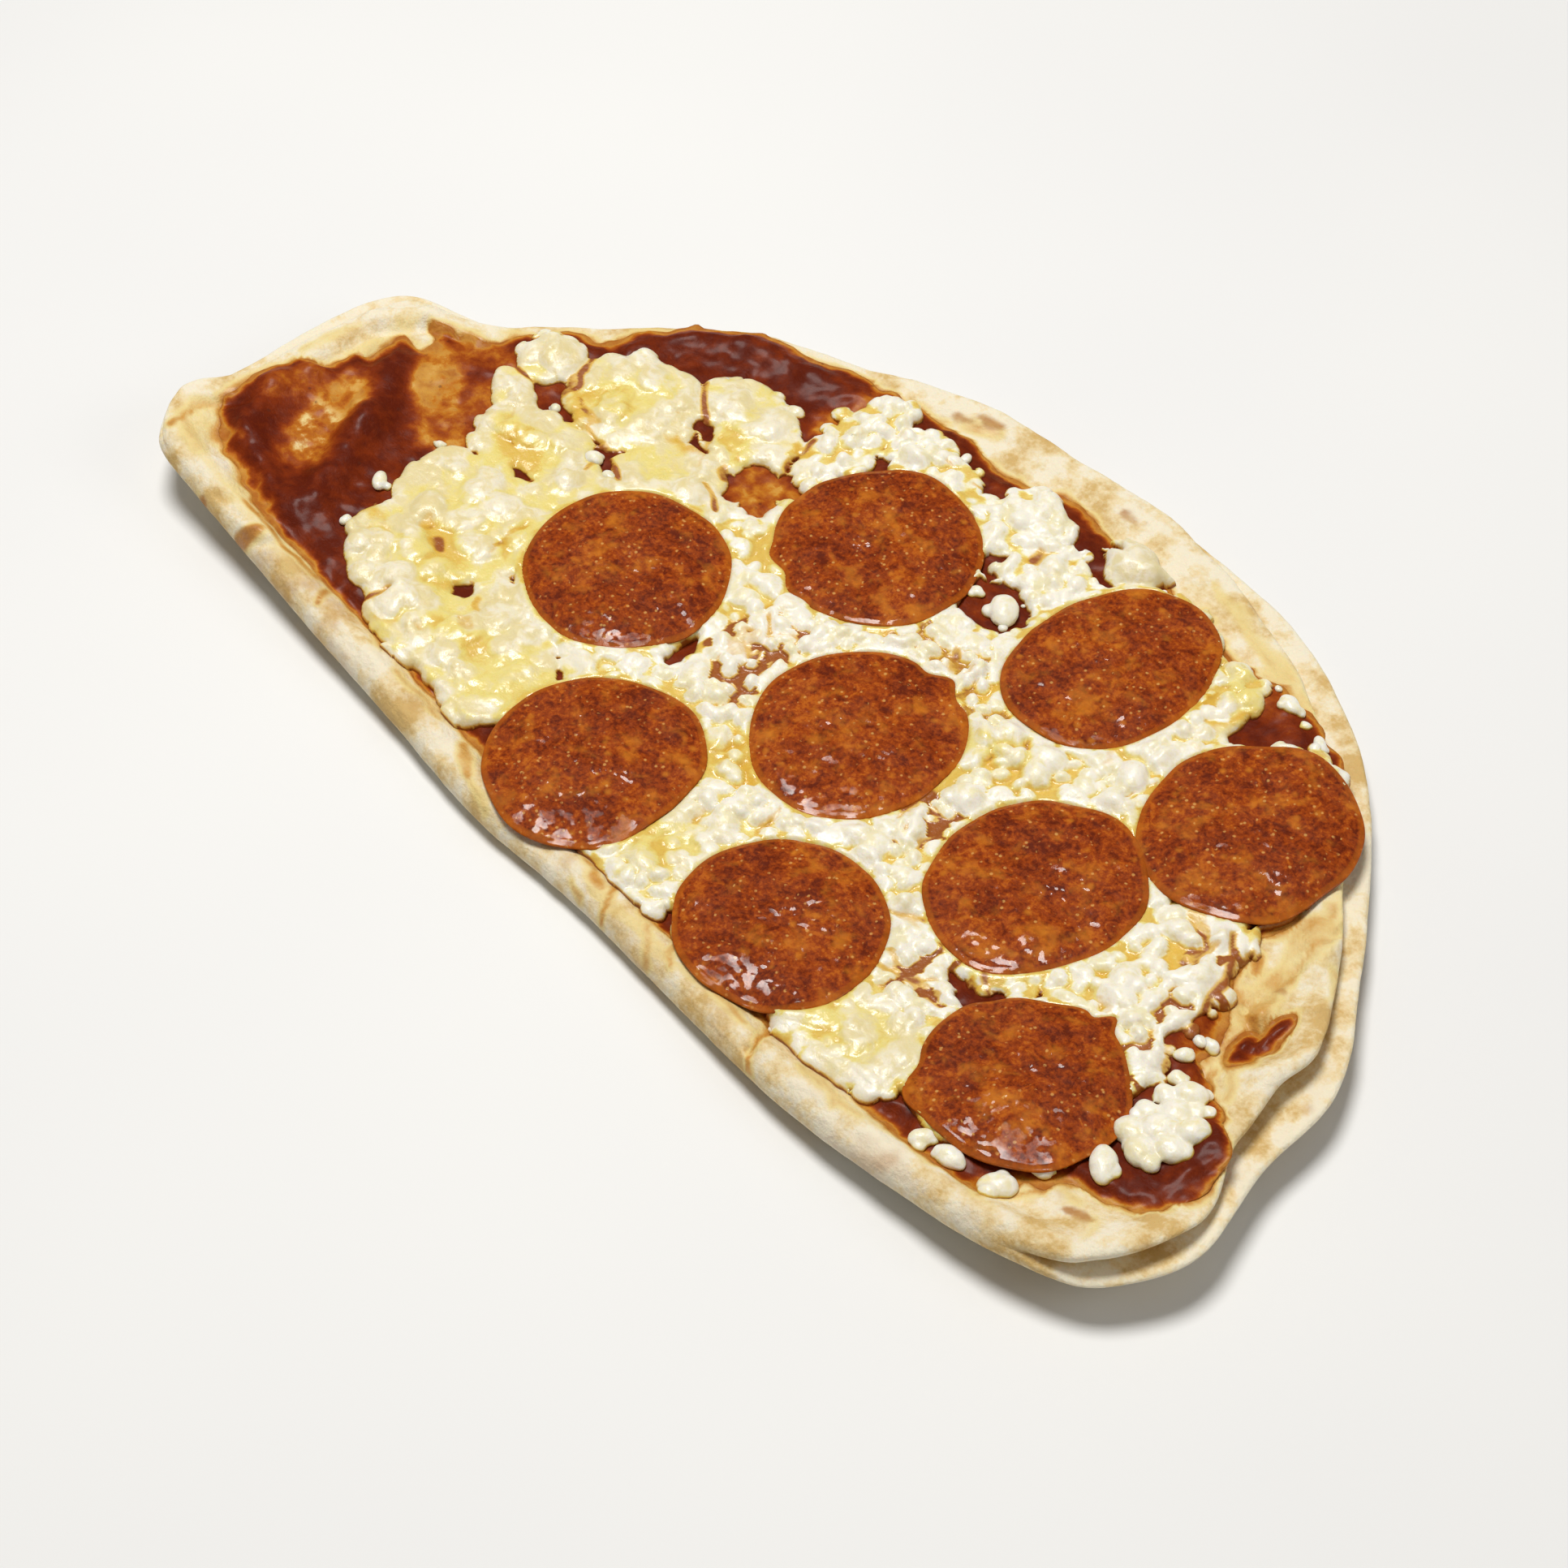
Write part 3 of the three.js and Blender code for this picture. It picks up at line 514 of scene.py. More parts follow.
# %% [markdown]
# ## Where the sauce lies
# Tomato sauce soaks in at its edges and dries dark where it is thick. The sauce is a thin solid
# of its own. Two numbers go with each of its points: how deep the sauce looks there, and how
# much oil has stained the dough. The dough beyond its edge carries the same stain, so the two
# meet without a line.

# %% Sauce fields
SAUCE_PATCHES = [  # small pools apart from the rest: [x, y, rx, ry, turn]
    [109.8, 6.4, 2.9, 5.4, 14], [111.6, 12, 2.0, 5.4, -2], [104.5, -1, 2.6, 4, 20],
]
THIN_SAUCE = [  # where the dough shows through: [x, y, rx, ry, turn, amount]
    [-116.5, -27, 9.5, 5.4, -42, 0.62], [-121, -17, 9, 6, -62, 0.66], [-106, -2, 14, 6.5, -26, 0.7],
    [-117, 5, 9, 4, -30, 0.62], [-103, 8, 6, 5, -40, 0.54], [-112, 14, 8, 4, 32, 0.42],
    [-46, 33, 7, 7, 0, 0.62], [-106, -6, 5, 3, -30, 0.35], [103, 2, 4, 6, 10, 0.35],
    [-130, -22, 5, 9, 12, 0.42], [57, 69, 8, 3, -20, 0.35], [-96, 22, 4, 6, 0, 0.4],
    [-53, 59, 3.4, 8, 0, 0.6], [112, -6, 7, 7, 0, 0.4], [-51, 33, 7, 6, -30, 0.5],
]
SAUCE_WANDER, FOLD_CALM = 1.5, 0.5  # how far the edge wanders, and the share of it along the fold
SAUCE_FRAY = 0.6  # and the fine fraying of the edge
THICK_AT = 2.6  # mm inside the edge from which the sauce looks thick
THIN_WARP = 2.6  # how far the thin places are pulled out of shape
SAUCE_BED_SLOPE = 4.5  # mm inside the edge over which the bed for the toppings rises


def sauce_cover(x, y):
    """How far inside the edge of the sauce a place lies, in mm."""
    degrees = np.degrees(np.arctan2(y, x))
    degrees = np.where(degrees < SAUCE_SETBACK[0][0], degrees + 360, degrees)
    cover = field_at("inside", x, y) - table_at(SAUCE_SETBACK, degrees)
    for patch in SAUCE_PATCHES:
        cover = np.maximum(cover, ellipse_inset(patch, x, y))
    along_fold = field_at("fold", x, y)
    cover = cover + SAUCE_WANDER * fractal(x, y, 9, 31) * mix(1, FOLD_CALM, along_fold)
    return cover + SAUCE_FRAY * noise(x, y, 2.6, 35)


def sauce_depth(x, y, cover):
    """0 where only oil shows, 1 where the sauce is thick and dark."""
    thick = smooth(0, THICK_AT, cover + 1.1 * fractal(x, y, 5, 41) + 0.4 * noise(x, y, 1.8, 42))
    wx, wy = x + THIN_WARP * fractal(x, y, 8, 43), y + THIN_WARP * fractal(x, y, 8, 45)
    thin = spots(THIN_SAUCE, wx, wy, 3.2) * (1 + 0.25 * fractal(x, y, 3.2, 46))
    streaks = 0.22 * fractal(x * 1.4 + y * 0.7, (y - x * 0.4) * 0.5, 6, 47) + 0.1 * noise(x, y, 1.5, 48)
    return np.clip(thick * (0.9 - thin) + streaks * smooth(1, 5, cover), 0, 1)


def sauce_bed(x, y):
    """The height of the sauce under the toppings."""
    return crepe_top(x, y) + SAUCE * smooth(0, SAUCE_BED_SLOPE, sauce_cover(x, y))


plan_x, plan_y = np.meshgrid(np.arange(-140.0, 141.0), np.arange(-70.0, 90.0), indexing="ij")
on_crepe = field_at("inside", plan_x, plan_y) > 0
covered = np.mean(sauce_cover(plan_x, plan_y)[on_crepe] > 0)
print(f"sauce covers {covered:.0%} of the crepe")

# %% Oil that has stained the dough, and one field of painted shade
OIL_LINES = [  # amber lines on the bare crepe: [x, y, to x, to y, width, amount]
    [99, 41, 103.5, 30, 1.5, 0.6], [103.5, 30, 104.2, 22, 1.4, 0.55], [104.2, 22, 103.6, 14, 1.3, 0.5],
    [103.6, 14, 109, 10.5, 0.8, 0.9], [91, 24, 97, 16, 1.4, 0.9], [97, 16, 101, 6, 1.6, 0.9],
    [111, 39, 117, 29, 1.0, 0.55], [117, 29, 121, 17, 0.8, 0.5], [109, 30, 112, 27, 1.4, 0.5],
    [109.5, -1, 110, -9, 1.6, 0.8], [112, 2, 116, -4, 1.6, 0.5], [50.5, -50, 52.5, -55, 1.0, 0.9],
    [52.5, -55, 57.5, -61.5, 1.0, 0.85], [-133, -33, -137, -41, 1.8, 0.6], [-136, -42, -134, -48, 1.6, 0.8],
    [-136, -14, -135, -2, 1.2, 0.5], [-128, 3, -131, -8, 1.4, 0.35], [-106, -57, -101, -50, 1.8, 1.0],
    [-119, -54, -112, -55, 0.8, 1.0], [62, -52, 76, -52, 1.6, 0.5], [45, 78, 64, 71, 2, 0.5],
    [52, 73, 66, 74, 2.4, 0.45], [-97, 33, -95, 47, 1.2, 0.5], [-136, -44, -126, -47, 2.2, 0.5],
    [92, 28, 96, 34, 2.2, 0.6], [97, 24, 99, 21, 1.3, 0.9], [118, -37, 121, -41, 1.4, 0.3],
    [9, -50, 13.5, -58, 1.0, 0.8], [20, -52, 26, -57, 1.5, 0.6], [0, -50, 8, -53, 1.5, 0.75],
    [27, -51, 30, -55, 1.1, 0.7], [-58, -49.5, -44, -50, 1.2, 0.6], [-37, -50, -28, -55, 1.4, 0.7],
    [-28, -55, -20, -57.5, 1.0, 0.5], [3, -55, 7, -57, 0.8, 0.6], [36, -52, 48, -53, 1.3, 0.6],
    [66, -50, 72, -53, 1.6, 0.5], [103, -48, 108, -38, 1.0, 0.7], [108, -38, 111, -33.5, 1.0, 0.8],
    [111, -33.5, 123, -31.5, 0.9, 0.7], [110, 38, 116, 30, 1.4, 0.8], [116, 30, 120, 20, 1.0, 0.7],
    [-82, -48, -80, -51.5, 1.0, 1.0], [-110, -47.5, -86, -48.5, 1.0, 0.8],
]
OIL_AND_SHADE_PLACES = [  # yellow, oily fields of the bare crepe: [x, y, rx, ry, turn, amount]
    [102, 30, 4, 14, 10, 0.5], [104, 8, 5.5, 13, 6, 0.6], [112, -6, 5, 4, 0, 0.4],
    # the field at x 125 is painted shade: the yellow-olive shading on the lower layer, under the upper layer's edge
    [117, 32, 2.6, 10, -28, 0.3], [125, 6, 2.6, 10, 10, 0.42], [133, -38, 3, 6, 10, 0.35],
    [-132, -43, 6.5, 3.2, 20, 0.4], [-128, -3, 3.4, 13, 10, 0.28], [-135.5, -9, 1.4, 9, 0, 0.25],
    [-118, -47, 11, 1.8, -6, 0.3], [-45, 72, 8, 1.6, 22, 0.5], [-34, 78, 5, 2.6, 20, 0.5],
    [38, 80, 12, 1.8, -12, 0.35], [54, 76, 10, 2, -24, 0.4], [98, 45, 4, 8, 28, 0.4],
    [-100, -50, 14, 2, -2, 0.2], [30, -53, 26, 1.6, 0, 0.3], [112, -36, 4, 2, 10, 0.4],
]


STAIN_REACH, STAIN_UNEVEN = 0.55, 1.6  # mm that oil creeps out of the sauce, and how much that differs
STAIN_LEAST = 0.4


def oil_stain_and_shade(x, y, cover):
    """How much oil has stained the dough, with one yellow field of painted shade on the lower layer at the right end.
    """
    reach = STAIN_REACH + STAIN_UNEVEN * fractal(x, y, 5, 51)
    near = np.exp(-np.maximum(0, -cover) / np.maximum(reach, STAIN_LEAST))
    lines = np.zeros_like(x)
    for line in OIL_LINES:
        off = line_distance(line, x + 0.8 * noise(x, y, 3, 53), y + 0.8 * noise(x, y, 3, 54))
        lines = np.maximum(lines, line[5] * np.exp(-((off / line[4]) ** 2)))
    # oily fields, one of which is painted shade between the layers
    wide = spots(OIL_AND_SHADE_PLACES, x + 1.5 * noise(x, y, 5, 56), y + 1.5 * noise(x, y, 5, 57), 2.5)
    wide = wide * (1 + 0.5 * fractal(x, y, 3.4, 58))
    return np.clip(np.maximum(np.maximum(near * smooth(-14, -1, cover), lines), wide), 0, 1)


# %% Browned places
TOAST_SPOTS = [  # browned spots on the dough: [x, y, rx, ry, turn, amount]
    [-33, 80, 3.2, 1.4, 15, 0.8], [-38, 77, 2.4, 1.3, 20, 0.6], [5, 83, 3, 1.2, 0, 0.6],
    [39, 84, 3, 1.2, -15, 0.6], [116.5, -38.5, 3.0, 1.2, 12, 0.85], [125.5, 6.5, 1.1, 2.0, 0, 0.9],
    [106, 20.5, 1.6, 1.0, 0, 0.7], [-70, -55, 7, 1.6, 0, 0.25], [20, -56, 9, 1.6, 0, 0.25],
    [92, -54, 8, 1.4, 4, 0.3], [-15, -56, 7, 1.5, 0, 0.2], [120, 28, 4, 2.5, -50, 0.3],
    [-116, -54.2, 4.2, 0.9, -5, 1.0], [-103.5, -53.5, 3.6, 1.6, 45, 0.9], [-121.5, 11, 1.6, 1.2, 0, 1.0],
    [123, 12, 2, 6, 10, 0.35], [131, -38, 2.4, 4, 20, 0.4],
]


BLUSH, FOLD_BLUSH = 0.3, 0.17  # the soft browning in patches, and all along the fold


def toast_at(x, y):
    """How brown the dough is baked."""
    wobble = 0.7 * noise(x, y, 2.2, 61)
    spotted = spots(TOAST_SPOTS, x + wobble, y + wobble, 1.0)
    blush = smooth(0.05, 0.75, fractal(x, y, 13, 63) + 0.35 * fractal(x, y, 3, 65))
    fold = field_at("fold", x, y)
    return np.maximum(spotted, BLUSH * blush * mix(0.5, 1, fold) + FOLD_BLUSH * fold)


brown = np.mean(toast_at(OUTLINE["x"], OUTLINE["y"]) > BLUSH)
print(f"{len(OIL_LINES)} oil lines, {len(TOAST_SPOTS)} browned spots, {brown:.0%} of the rim brown")


# %% [markdown]
# ## Turning numbers into meshes
# Two helpers make every large mesh: one joins rings of points, as for the crepe, and one cuts a
# sheet out of a grid where a cover is positive, and gives it a top, a bottom and a wall. Both
# work on whole arrays, because a loop over a hundred thousand points in Python would be slow.

# %% A mesh from arrays
def paint(mesh, attributes):
    """Gives each point of a mesh a number under each name, for the finishes to read."""
    for key, values in attributes.items():
        layer = mesh.attributes.new(key, "FLOAT", "POINT")
        layer.data.foreach_set("value", np.asarray(values, np.float32))


def placed(name, data):
    """A new object in the scene, for a mesh, a lamp or a camera."""
    piece = bpy.data.objects.new(name, data)
    bpy.context.scene.collection.objects.link(piece)
    return piece


def new_piece(name, points, faces, attributes=None):
    """A smooth-shaded object from plan points in mm, with one number per point and attribute."""
    place = np.array(points, float) + [SHIFT_X, SHIFT_Y, 0]
    faces = np.array(faces, np.int32)
    mesh = bpy.data.meshes.new(name)
    mesh.vertices.add(len(place))
    mesh.vertices.foreach_set("co", (place * MM).ravel())
    mesh.loops.add(faces.size)
    mesh.loops.foreach_set("vertex_index", faces.ravel())
    mesh.polygons.add(len(faces))
    mesh.polygons.foreach_set("loop_start", np.arange(len(faces), dtype=np.int32) * faces.shape[1])
    mesh.update(calc_edges=True)
    paint(mesh, attributes or {})
    mesh.shade_smooth()
    return placed(name, mesh)


# %% Faces between rings of points
def ring_faces(rings, around):
    """Triangles between rings of the same length that lie one after the other in the points."""
    i = np.arange(around)
    j = (i + 1) % around
    bands = []
    for k in range(rings - 1):
        a, b = k * around, (k + 1) * around
        bands.append(np.stack([a + i, a + j, b + j], 1))
        bands.append(np.stack([a + i, b + j, b + i], 1))
    return np.vstack(bands)


def fan_faces(ring_start, around, tip, flip):
    """Triangles between a ring and one point, which close a shape."""
    i = np.arange(around)
    j = (i + 1) % around
    first, second = (j, i) if flip else (i, j)
    return np.stack([ring_start + first, ring_start + second, np.full(around, tip)], 1)


print("three rings of four points give", len(ring_faces(3, 4)), "triangles")

# %% Clearing specks from a grid
def drop_specks(solid, least):
    """Clears the islands of a grid of yes and no that have fewer than least points."""
    kept = solid.copy()
    waiting = solid.copy()
    for start in zip(*np.nonzero(solid)):
        if not waiting[start]:
            continue
        island, stack = [], [start]
        waiting[start] = False
        while stack:
            i, j = stack.pop()
            island.append((i, j))
            for n in ((i + 1, j), (i - 1, j), (i, j + 1), (i, j - 1)):
                if 0 <= n[0] < solid.shape[0] and 0 <= n[1] < solid.shape[1] and waiting[n]:
                    waiting[n] = False
                    stack.append(n)
        if len(island) < least:
            for place in island:
                kept[place] = False
    return kept


print("specks:", drop_specks(np.eye(3) > 0, 2).sum(), "of 3 single points are left")

# %% A sheet cut out of a grid
JUST_OUTSIDE = -0.1  # the cover that a dropped speck gets, in cells
CROSSING_FROM, CROSSING_TO = 0.12, 0.88  # an edge is cut between these shares, so no sliver is left


def cut_sheet(low, high, cell, cover_at, least):
    """Plan points and triangles of the part of a grid where cover_at is positive."""
    nx, ny = int((high[0] - low[0]) / cell) + 1, int((high[1] - low[1]) / cell) + 1
    gx, gy = np.meshgrid(low[0] + cell * np.arange(nx), low[1] + cell * np.arange(ny), indexing="ij")
    cover = cover_at(gx, gy)
    specks = (cover > 0) & ~drop_specks(cover > 0, least)
    cover = np.where(specks, JUST_OUTSIDE * cell, cover).ravel()
    index = np.arange(nx * ny).reshape(nx, ny)
    a, b = index[:-1, :-1].ravel(), index[1:, :-1].ravel()
    c, d = index[1:, 1:].ravel(), index[:-1, 1:].ravel()
    triangles = np.vstack([np.stack([a, b, c], 1), np.stack([a, c, d], 1)])
    count = (cover[triangles] > 0).sum(1)
    whole = triangles[count == 3]
    points = list(zip(gx.ravel(), gy.ravel()))
    crossings, extra, cut = {}, [], []

    def crossing(p, q):
        key = (min(p, q), max(p, q))
        if key not in crossings:
            t = np.clip(cover[p] / (cover[p] - cover[q]), CROSSING_FROM, CROSSING_TO)
            crossings[key] = len(points) + len(extra)
            extra.append((mix(points[p][0], points[q][0], t), mix(points[p][1], points[q][1], t)))
        return crossings[key]

    for corners in triangles[(count > 0) & (count < 3)]:
        kept = []
        for k in range(3):
            p, q = int(corners[k]), int(corners[(k + 1) % 3])
            if cover[p] > 0:
                kept.append(p)
            if (cover[p] > 0) != (cover[q] > 0):
                kept.append(crossing(p, q))
        for k in range(2, len(kept)):
            cut.append((kept[0], kept[k - 1], kept[k]))
    faces = np.vstack([whole, np.array(cut)])
    used, faces = np.unique(faces, return_inverse=True)
    everything = np.array(points + extra)
    return everything[used], faces.reshape(-1, 3)


plan, faces = cut_sheet((-5, -5), (5, 5), 1, lambda x, y: 4 - np.hypot(x, y), 1)
print("a disc cut from a grid of 1 mm:", len(plan), "points,", len(faces), "triangles")

# %% A sheet with thickness
def sheet_solid(plan, faces, bottom, top):
    """A top, a bottom and a wall along every open side."""
    n = len(plan)
    sides = np.vstack([faces[:, [0, 1]], faces[:, [1, 2]], faces[:, [2, 0]]])
    key, back = sides[:, 0] * n + sides[:, 1], sides[:, 1] * n + sides[:, 0]
    p, q = sides[~np.isin(key, back)].T
    walls = np.vstack([np.stack([p + n, q + n, q], 1), np.stack([p + n, q, p], 1)])
    points = np.vstack([np.column_stack([plan, top]), np.column_stack([plan, bottom])])
    return points, np.vstack([faces, faces[:, ::-1] + n, walls])


print("the disc with a wall round it:", len(sheet_solid(plan, faces, plan[:, 0], plan[:, 0])[1]), "triangles")

# %% Modifiers, and what a piece measures
def thin_out(piece, hidden, goal):
    """Lowers the triangle count by merging only where hidden is 1."""
    count = len(piece.data.polygons)
    if count <= goal:
        return
    group = piece.vertex_groups.new(name="hidden")
    group.add(np.nonzero(hidden)[0].tolist(), 1.0, "REPLACE")
    decimate = piece.modifiers.new("thin out", "DECIMATE")
    decimate.ratio = goal / count
    decimate.vertex_group = "hidden"
    bake_modifiers(piece)
    piece.vertex_groups.clear()
    print(f"{piece.name}: {count} triangles thinned to {len(piece.data.polygons)}")


def bake_modifiers(piece):
    """Replaces a piece's mesh by what its modifiers give, and removes them."""
    depsgraph = bpy.context.evaluated_depsgraph_get()
    shown = piece.evaluated_get(depsgraph)
    mesh = bpy.data.meshes.new_from_object(shown, preserve_all_data_layers=True, depsgraph=depsgraph)
    piece.modifiers.clear()
    piece.data = mesh
    mesh.name = piece.name


def measure(piece):
    """Turns the faces outward, and prints what the piece measures."""
    shape = bmesh.new()
    shape.from_mesh(piece.data)
    bmesh.ops.recalc_face_normals(shape, faces=shape.faces[:])
    volume = shape.calc_volume(signed=True)
    if volume < 0:
        bmesh.ops.reverse_faces(shape, faces=shape.faces[:])
    shape.to_mesh(piece.data)
    open_sides = sum(1 for edge in shape.edges if not edge.is_manifold)
    print(f"{piece.name}: {len(shape.faces)} faces, {abs(volume) * 1e6:.1f} cm3, {open_sides} open sides")
    shape.free()


# %% [markdown]
# ## Materials from expressions
# A finish is a small program of nodes. Here one class wraps an output of a node, so that sums
# and products of it are written as in any program, and add the Math nodes by themselves.

# %% A socket that takes part in sums
class Signal:
    """One output of a node. Arithmetic on it adds Math nodes to its tree."""

    def __init__(self, owner, socket):
        self.owner, self.socket = owner, socket

    def math(self, operation, *values):
        inputs = dict(enumerate(values))
        return self.owner.node("ShaderNodeMath", {"operation": operation}, inputs)

    def __add__(self, other):
        return self.math("ADD", self, other)

    def __radd__(self, other):
        return self.math("ADD", other, self)

    def __sub__(self, other):
        return self.math("SUBTRACT", self, other)

    def __rsub__(self, other):
        return self.math("SUBTRACT", other, self)

    def __mul__(self, other):
        return self.math("MULTIPLY", self, other)

    def __rmul__(self, other):
        return self.math("MULTIPLY", other, self)

    def __truediv__(self, other):
        return self.math("DIVIDE", self, other)

    def __rtruediv__(self, other):
        return self.math("DIVIDE", other, self)

    def __pow__(self, other):
        return self.math("POWER", self, other)

    def at_most(self, other):
        return self.math("MINIMUM", self, other)

    def at_least(self, other):
        return self.math("MAXIMUM", self, other)

    def of(self, operation):
        return self.math(operation, self)


# %% Nodes and their settings
def enabled(sockets, name):
    """The socket of that name which is in use with the node's settings."""
    return next(s for s in sockets if s.name == name and s.enabled)


def set_stops(ramp, stops):
    """Sets a colour ramp's stops: [place, colour]."""
    while len(ramp.elements) < len(stops):
        ramp.elements.new(1.0)
    for element, (position, colour) in zip(ramp.elements, stops):
        element.position = position
        element.color = (*colour, 1)


# %% A tree that grows by expressions
class Nodes:
    """Adds nodes to a tree."""

    def __init__(self, tree):
        self.tree = tree

    def node(self, kind, settings=None, inputs=None, output=0):
        """Adds a node of a kind, with its settings, then its inputs by name or number."""
        node = self.tree.nodes.new(kind)
        for key, value in (settings or {}).items():
            if key == "stops":
                set_stops(node.color_ramp, value)
            else:
                setattr(node, key, value)
        for key, value in (inputs or {}).items():
            socket = node.inputs[key] if isinstance(key, int) else enabled(node.inputs, key)
            if isinstance(value, Signal):
                self.tree.links.new(value.socket, socket)
            else:
                socket.default_value = value
        outputs = node.outputs
        socket = outputs[output] if isinstance(output, int) else enabled(outputs, output)
        return Signal(self, socket)

    def step(self, value, low, high):
        """Rises gently from 0 at low to 1 at high."""
        settings = {"interpolation_type": "SMOOTHSTEP"}
        inputs = {"Value": value, "From Min": low, "From Max": high, "To Min": 0.0, "To Max": 1.0}
        return self.node("ShaderNodeMapRange", settings, inputs)

    def noise(self, place, size, detail=3.0, roughness=0.5, distortion=0.0):
        """A noise whose hills are about as wide as size."""
        inputs = {
            "Vector": place, "Scale": 1 / size, "Detail": detail, "Roughness": roughness,
            "Distortion": distortion,
        }
        return self.node("ShaderNodeTexNoise", {}, inputs)

    def cells(self, place, size):
        """The distance to the nearest of points strewn about as far apart as size."""
        return self.node("ShaderNodeTexVoronoi", {}, {"Vector": place, "Scale": 1 / size}, "Distance")


# %% A finish
class Finish(Nodes):
    """A material whose shader is fed by expressions."""

    def __init__(self, name):
        self.material = bpy.data.materials.new(name)
        self.material.use_nodes = True
        super().__init__(self.material.node_tree)
        self.tree.nodes.clear()
        self.place = self.node("ShaderNodeTexCoord", output="Object")

    def painted(self, name):
        """A number that the mesh carries."""
        settings = {"attribute_name": name, "attribute_type": "GEOMETRY"}
        return self.node("ShaderNodeAttribute", settings, output="Fac")

    def blend(self, first, second, factor):
        """The first colour where factor is 0, and the second where it is 1."""
        first, second = (c if isinstance(c, Signal) else (*c, 1) for c in (first, second))
        inputs = {"Factor": factor, "A": first, "B": second}
        return self.node("ShaderNodeMix", {"data_type": "RGBA"}, inputs, "Result")

    def ramp(self, value, stops):
        """A colour for each value, from a list of stops."""
        return self.node("ShaderNodeValToRGB", {"stops": stops}, {"Fac": value})

    def bump(self, height, distance, strength):
        """Small relief, too fine for the mesh."""
        inputs = {"Height": height, "Distance": distance, "Strength": strength}
        return self.node("ShaderNodeBump", {}, inputs)

    def done(self, **inputs):
        """Ends the tree in one shader, whose inputs are named with _ for a space."""
        named = {key.replace("_", " "): value for key, value in inputs.items()}
        shader = self.node("ShaderNodeBsdfPrincipled", {}, named)
        out = self.tree.nodes.new("ShaderNodeOutputMaterial")
        self.tree.links.new(shader.socket, out.inputs["Surface"])
        print(f"{self.material.name}: {len(self.tree.nodes)} nodes")
        return self.material


# %% [markdown]
# ## The dough's finish
# A baked crepe is cream, with golden patches where it touched the pan and a fine dusty grain.
# Light goes a little way into it. Sauce and dough share one colour recipe, because at its edge
# the sauce is only a stain.

# %% The dough's colour
PALE, CREAM, GOLDEN = (0.85, 0.77, 0.59), (0.80, 0.65, 0.38), (0.64, 0.43, 0.16)
YOLK, AMBER, DEEP_AMBER = (0.80, 0.64, 0.27), (0.60, 0.28, 0.035), (0.36, 0.095, 0.010)
TOASTED = (0.44, 0.19, 0.04)
DOUGH_STOPS = [(0.405, GOLDEN), (0.475, CREAM), (0.53, PALE)]
PATCH_SIZE, MOTTLE_SIZE, GRAIN_SIZE = 0.016, 0.0045, 0.0009  # metres


def dough_colour(finish, stain, toast):
    """Cream to golden dough, under oil and toast."""
    patches = finish.noise(finish.place, PATCH_SIZE, 2, 0.5)
    mottle = finish.noise(finish.place, MOTTLE_SIZE, 4, 0.6)
    grain = finish.noise(finish.place, GRAIN_SIZE, 2, 0.6)
    tone = patches * 0.52 + mottle * 0.38 + grain * 0.1
    colour = finish.ramp(tone, DOUGH_STOPS)
    uneven = stain * (0.55 + mottle * 0.9)
    colour = finish.blend(colour, YOLK, finish.step(uneven, 0.05, 0.4) * 0.85)
    colour = finish.blend(colour, AMBER, finish.step(uneven, 0.34, 0.8) * 0.9)
    colour = finish.blend(colour, DEEP_AMBER, finish.step(uneven, 0.7, 1.1) * 0.85)
    return finish.blend(colour, TOASTED, finish.step(toast * (0.4 + mottle * 1.2), 0.1, 0.9) * 0.9)


# %% The dough's finish
DUST_SIZE, DIMPLE_SIZE = 0.0008, 0.003  # metres


def dough_finish():
    f = Finish("baked dough")
    stain, toast = f.painted("stain"), f.painted("toast")
    grain = f.noise(f.place, DUST_SIZE, 4, 0.65)
    dimples = f.noise(f.place, DIMPLE_SIZE, 3, 0.55)
    rough = 0.62 - f.step(stain, 0.2, 0.9) * 0.25 + grain * 0.1
    return f.done(
        Base_Color=dough_colour(f, stain, toast),
        Roughness=rough,
        Normal=f.bump(dimples * 0.7 + grain * 0.3, 0.0011, 0.8),
        Coat_Weight=f.step(stain, 0.3, 0.9) * 0.25,
        Coat_Roughness=0.22,
        Subsurface_Weight=0.22,
        Subsurface_Radius=(1.0, 0.62, 0.36),
        Subsurface_Scale=0.0022,
        Specular_IOR_Level=0.3,
    )


dough = dough_finish()

# %% [markdown]
# ## The crepe
# Rings of points run from the middle of the underside, round the rim, to the middle of the top.
# Round the free edge they step in between the two layers and out again, so the edge shows both.
# Each ring is the outline moved inward, which keeps the rim's section true all the way round.

# %% The crepe's section
# Each row: [1 on the upper layer, share of the gap, mm in, height] on the free edge, then
# [mm in, height] on the fold.
RIM_SECTION = [
    [0, 0, 6.0, 0.0, 8.0, 0.0], [0, 0, 2.8, 0.03, 4.6, 0.06], [0, 0, 1.1, 0.22, 2.1, 0.5],
    [0, 0, 0.3, 0.6, 0.8, 1.3], [0, 0, 0, 1.05, 0.2, 2.2], [0, 0, 0.25, 1.5, 0, 3.1],
    [0, 0, 1.1, 1.85, 0.1, 3.9], [0.5, 0, 2.4, 1.98, 0.3, 4.5], [1, 0, 3.6, 2.02, 0.4, 4.75],
    [1, 0.6, 3.3, 2.15, 0.5, 4.95], [1, 1, 2.6, 2.2, 0.65, 5.2], [1, 1, 1.0, 2.32, 0.85, 5.5],
    [1, 1, 0.25, 2.75, 1.15, 5.9], [1, 1, 0, 3.3, 1.6, 6.3], [1, 1, 0.3, 3.85, 2.2, 6.65],
    [1, 1, 1.1, 4.25, 2.9, 6.95], [1, 1, 2.2, 4.42, 3.5, 7.12],
]
SECTION_STEPS = 3  # rings for each row


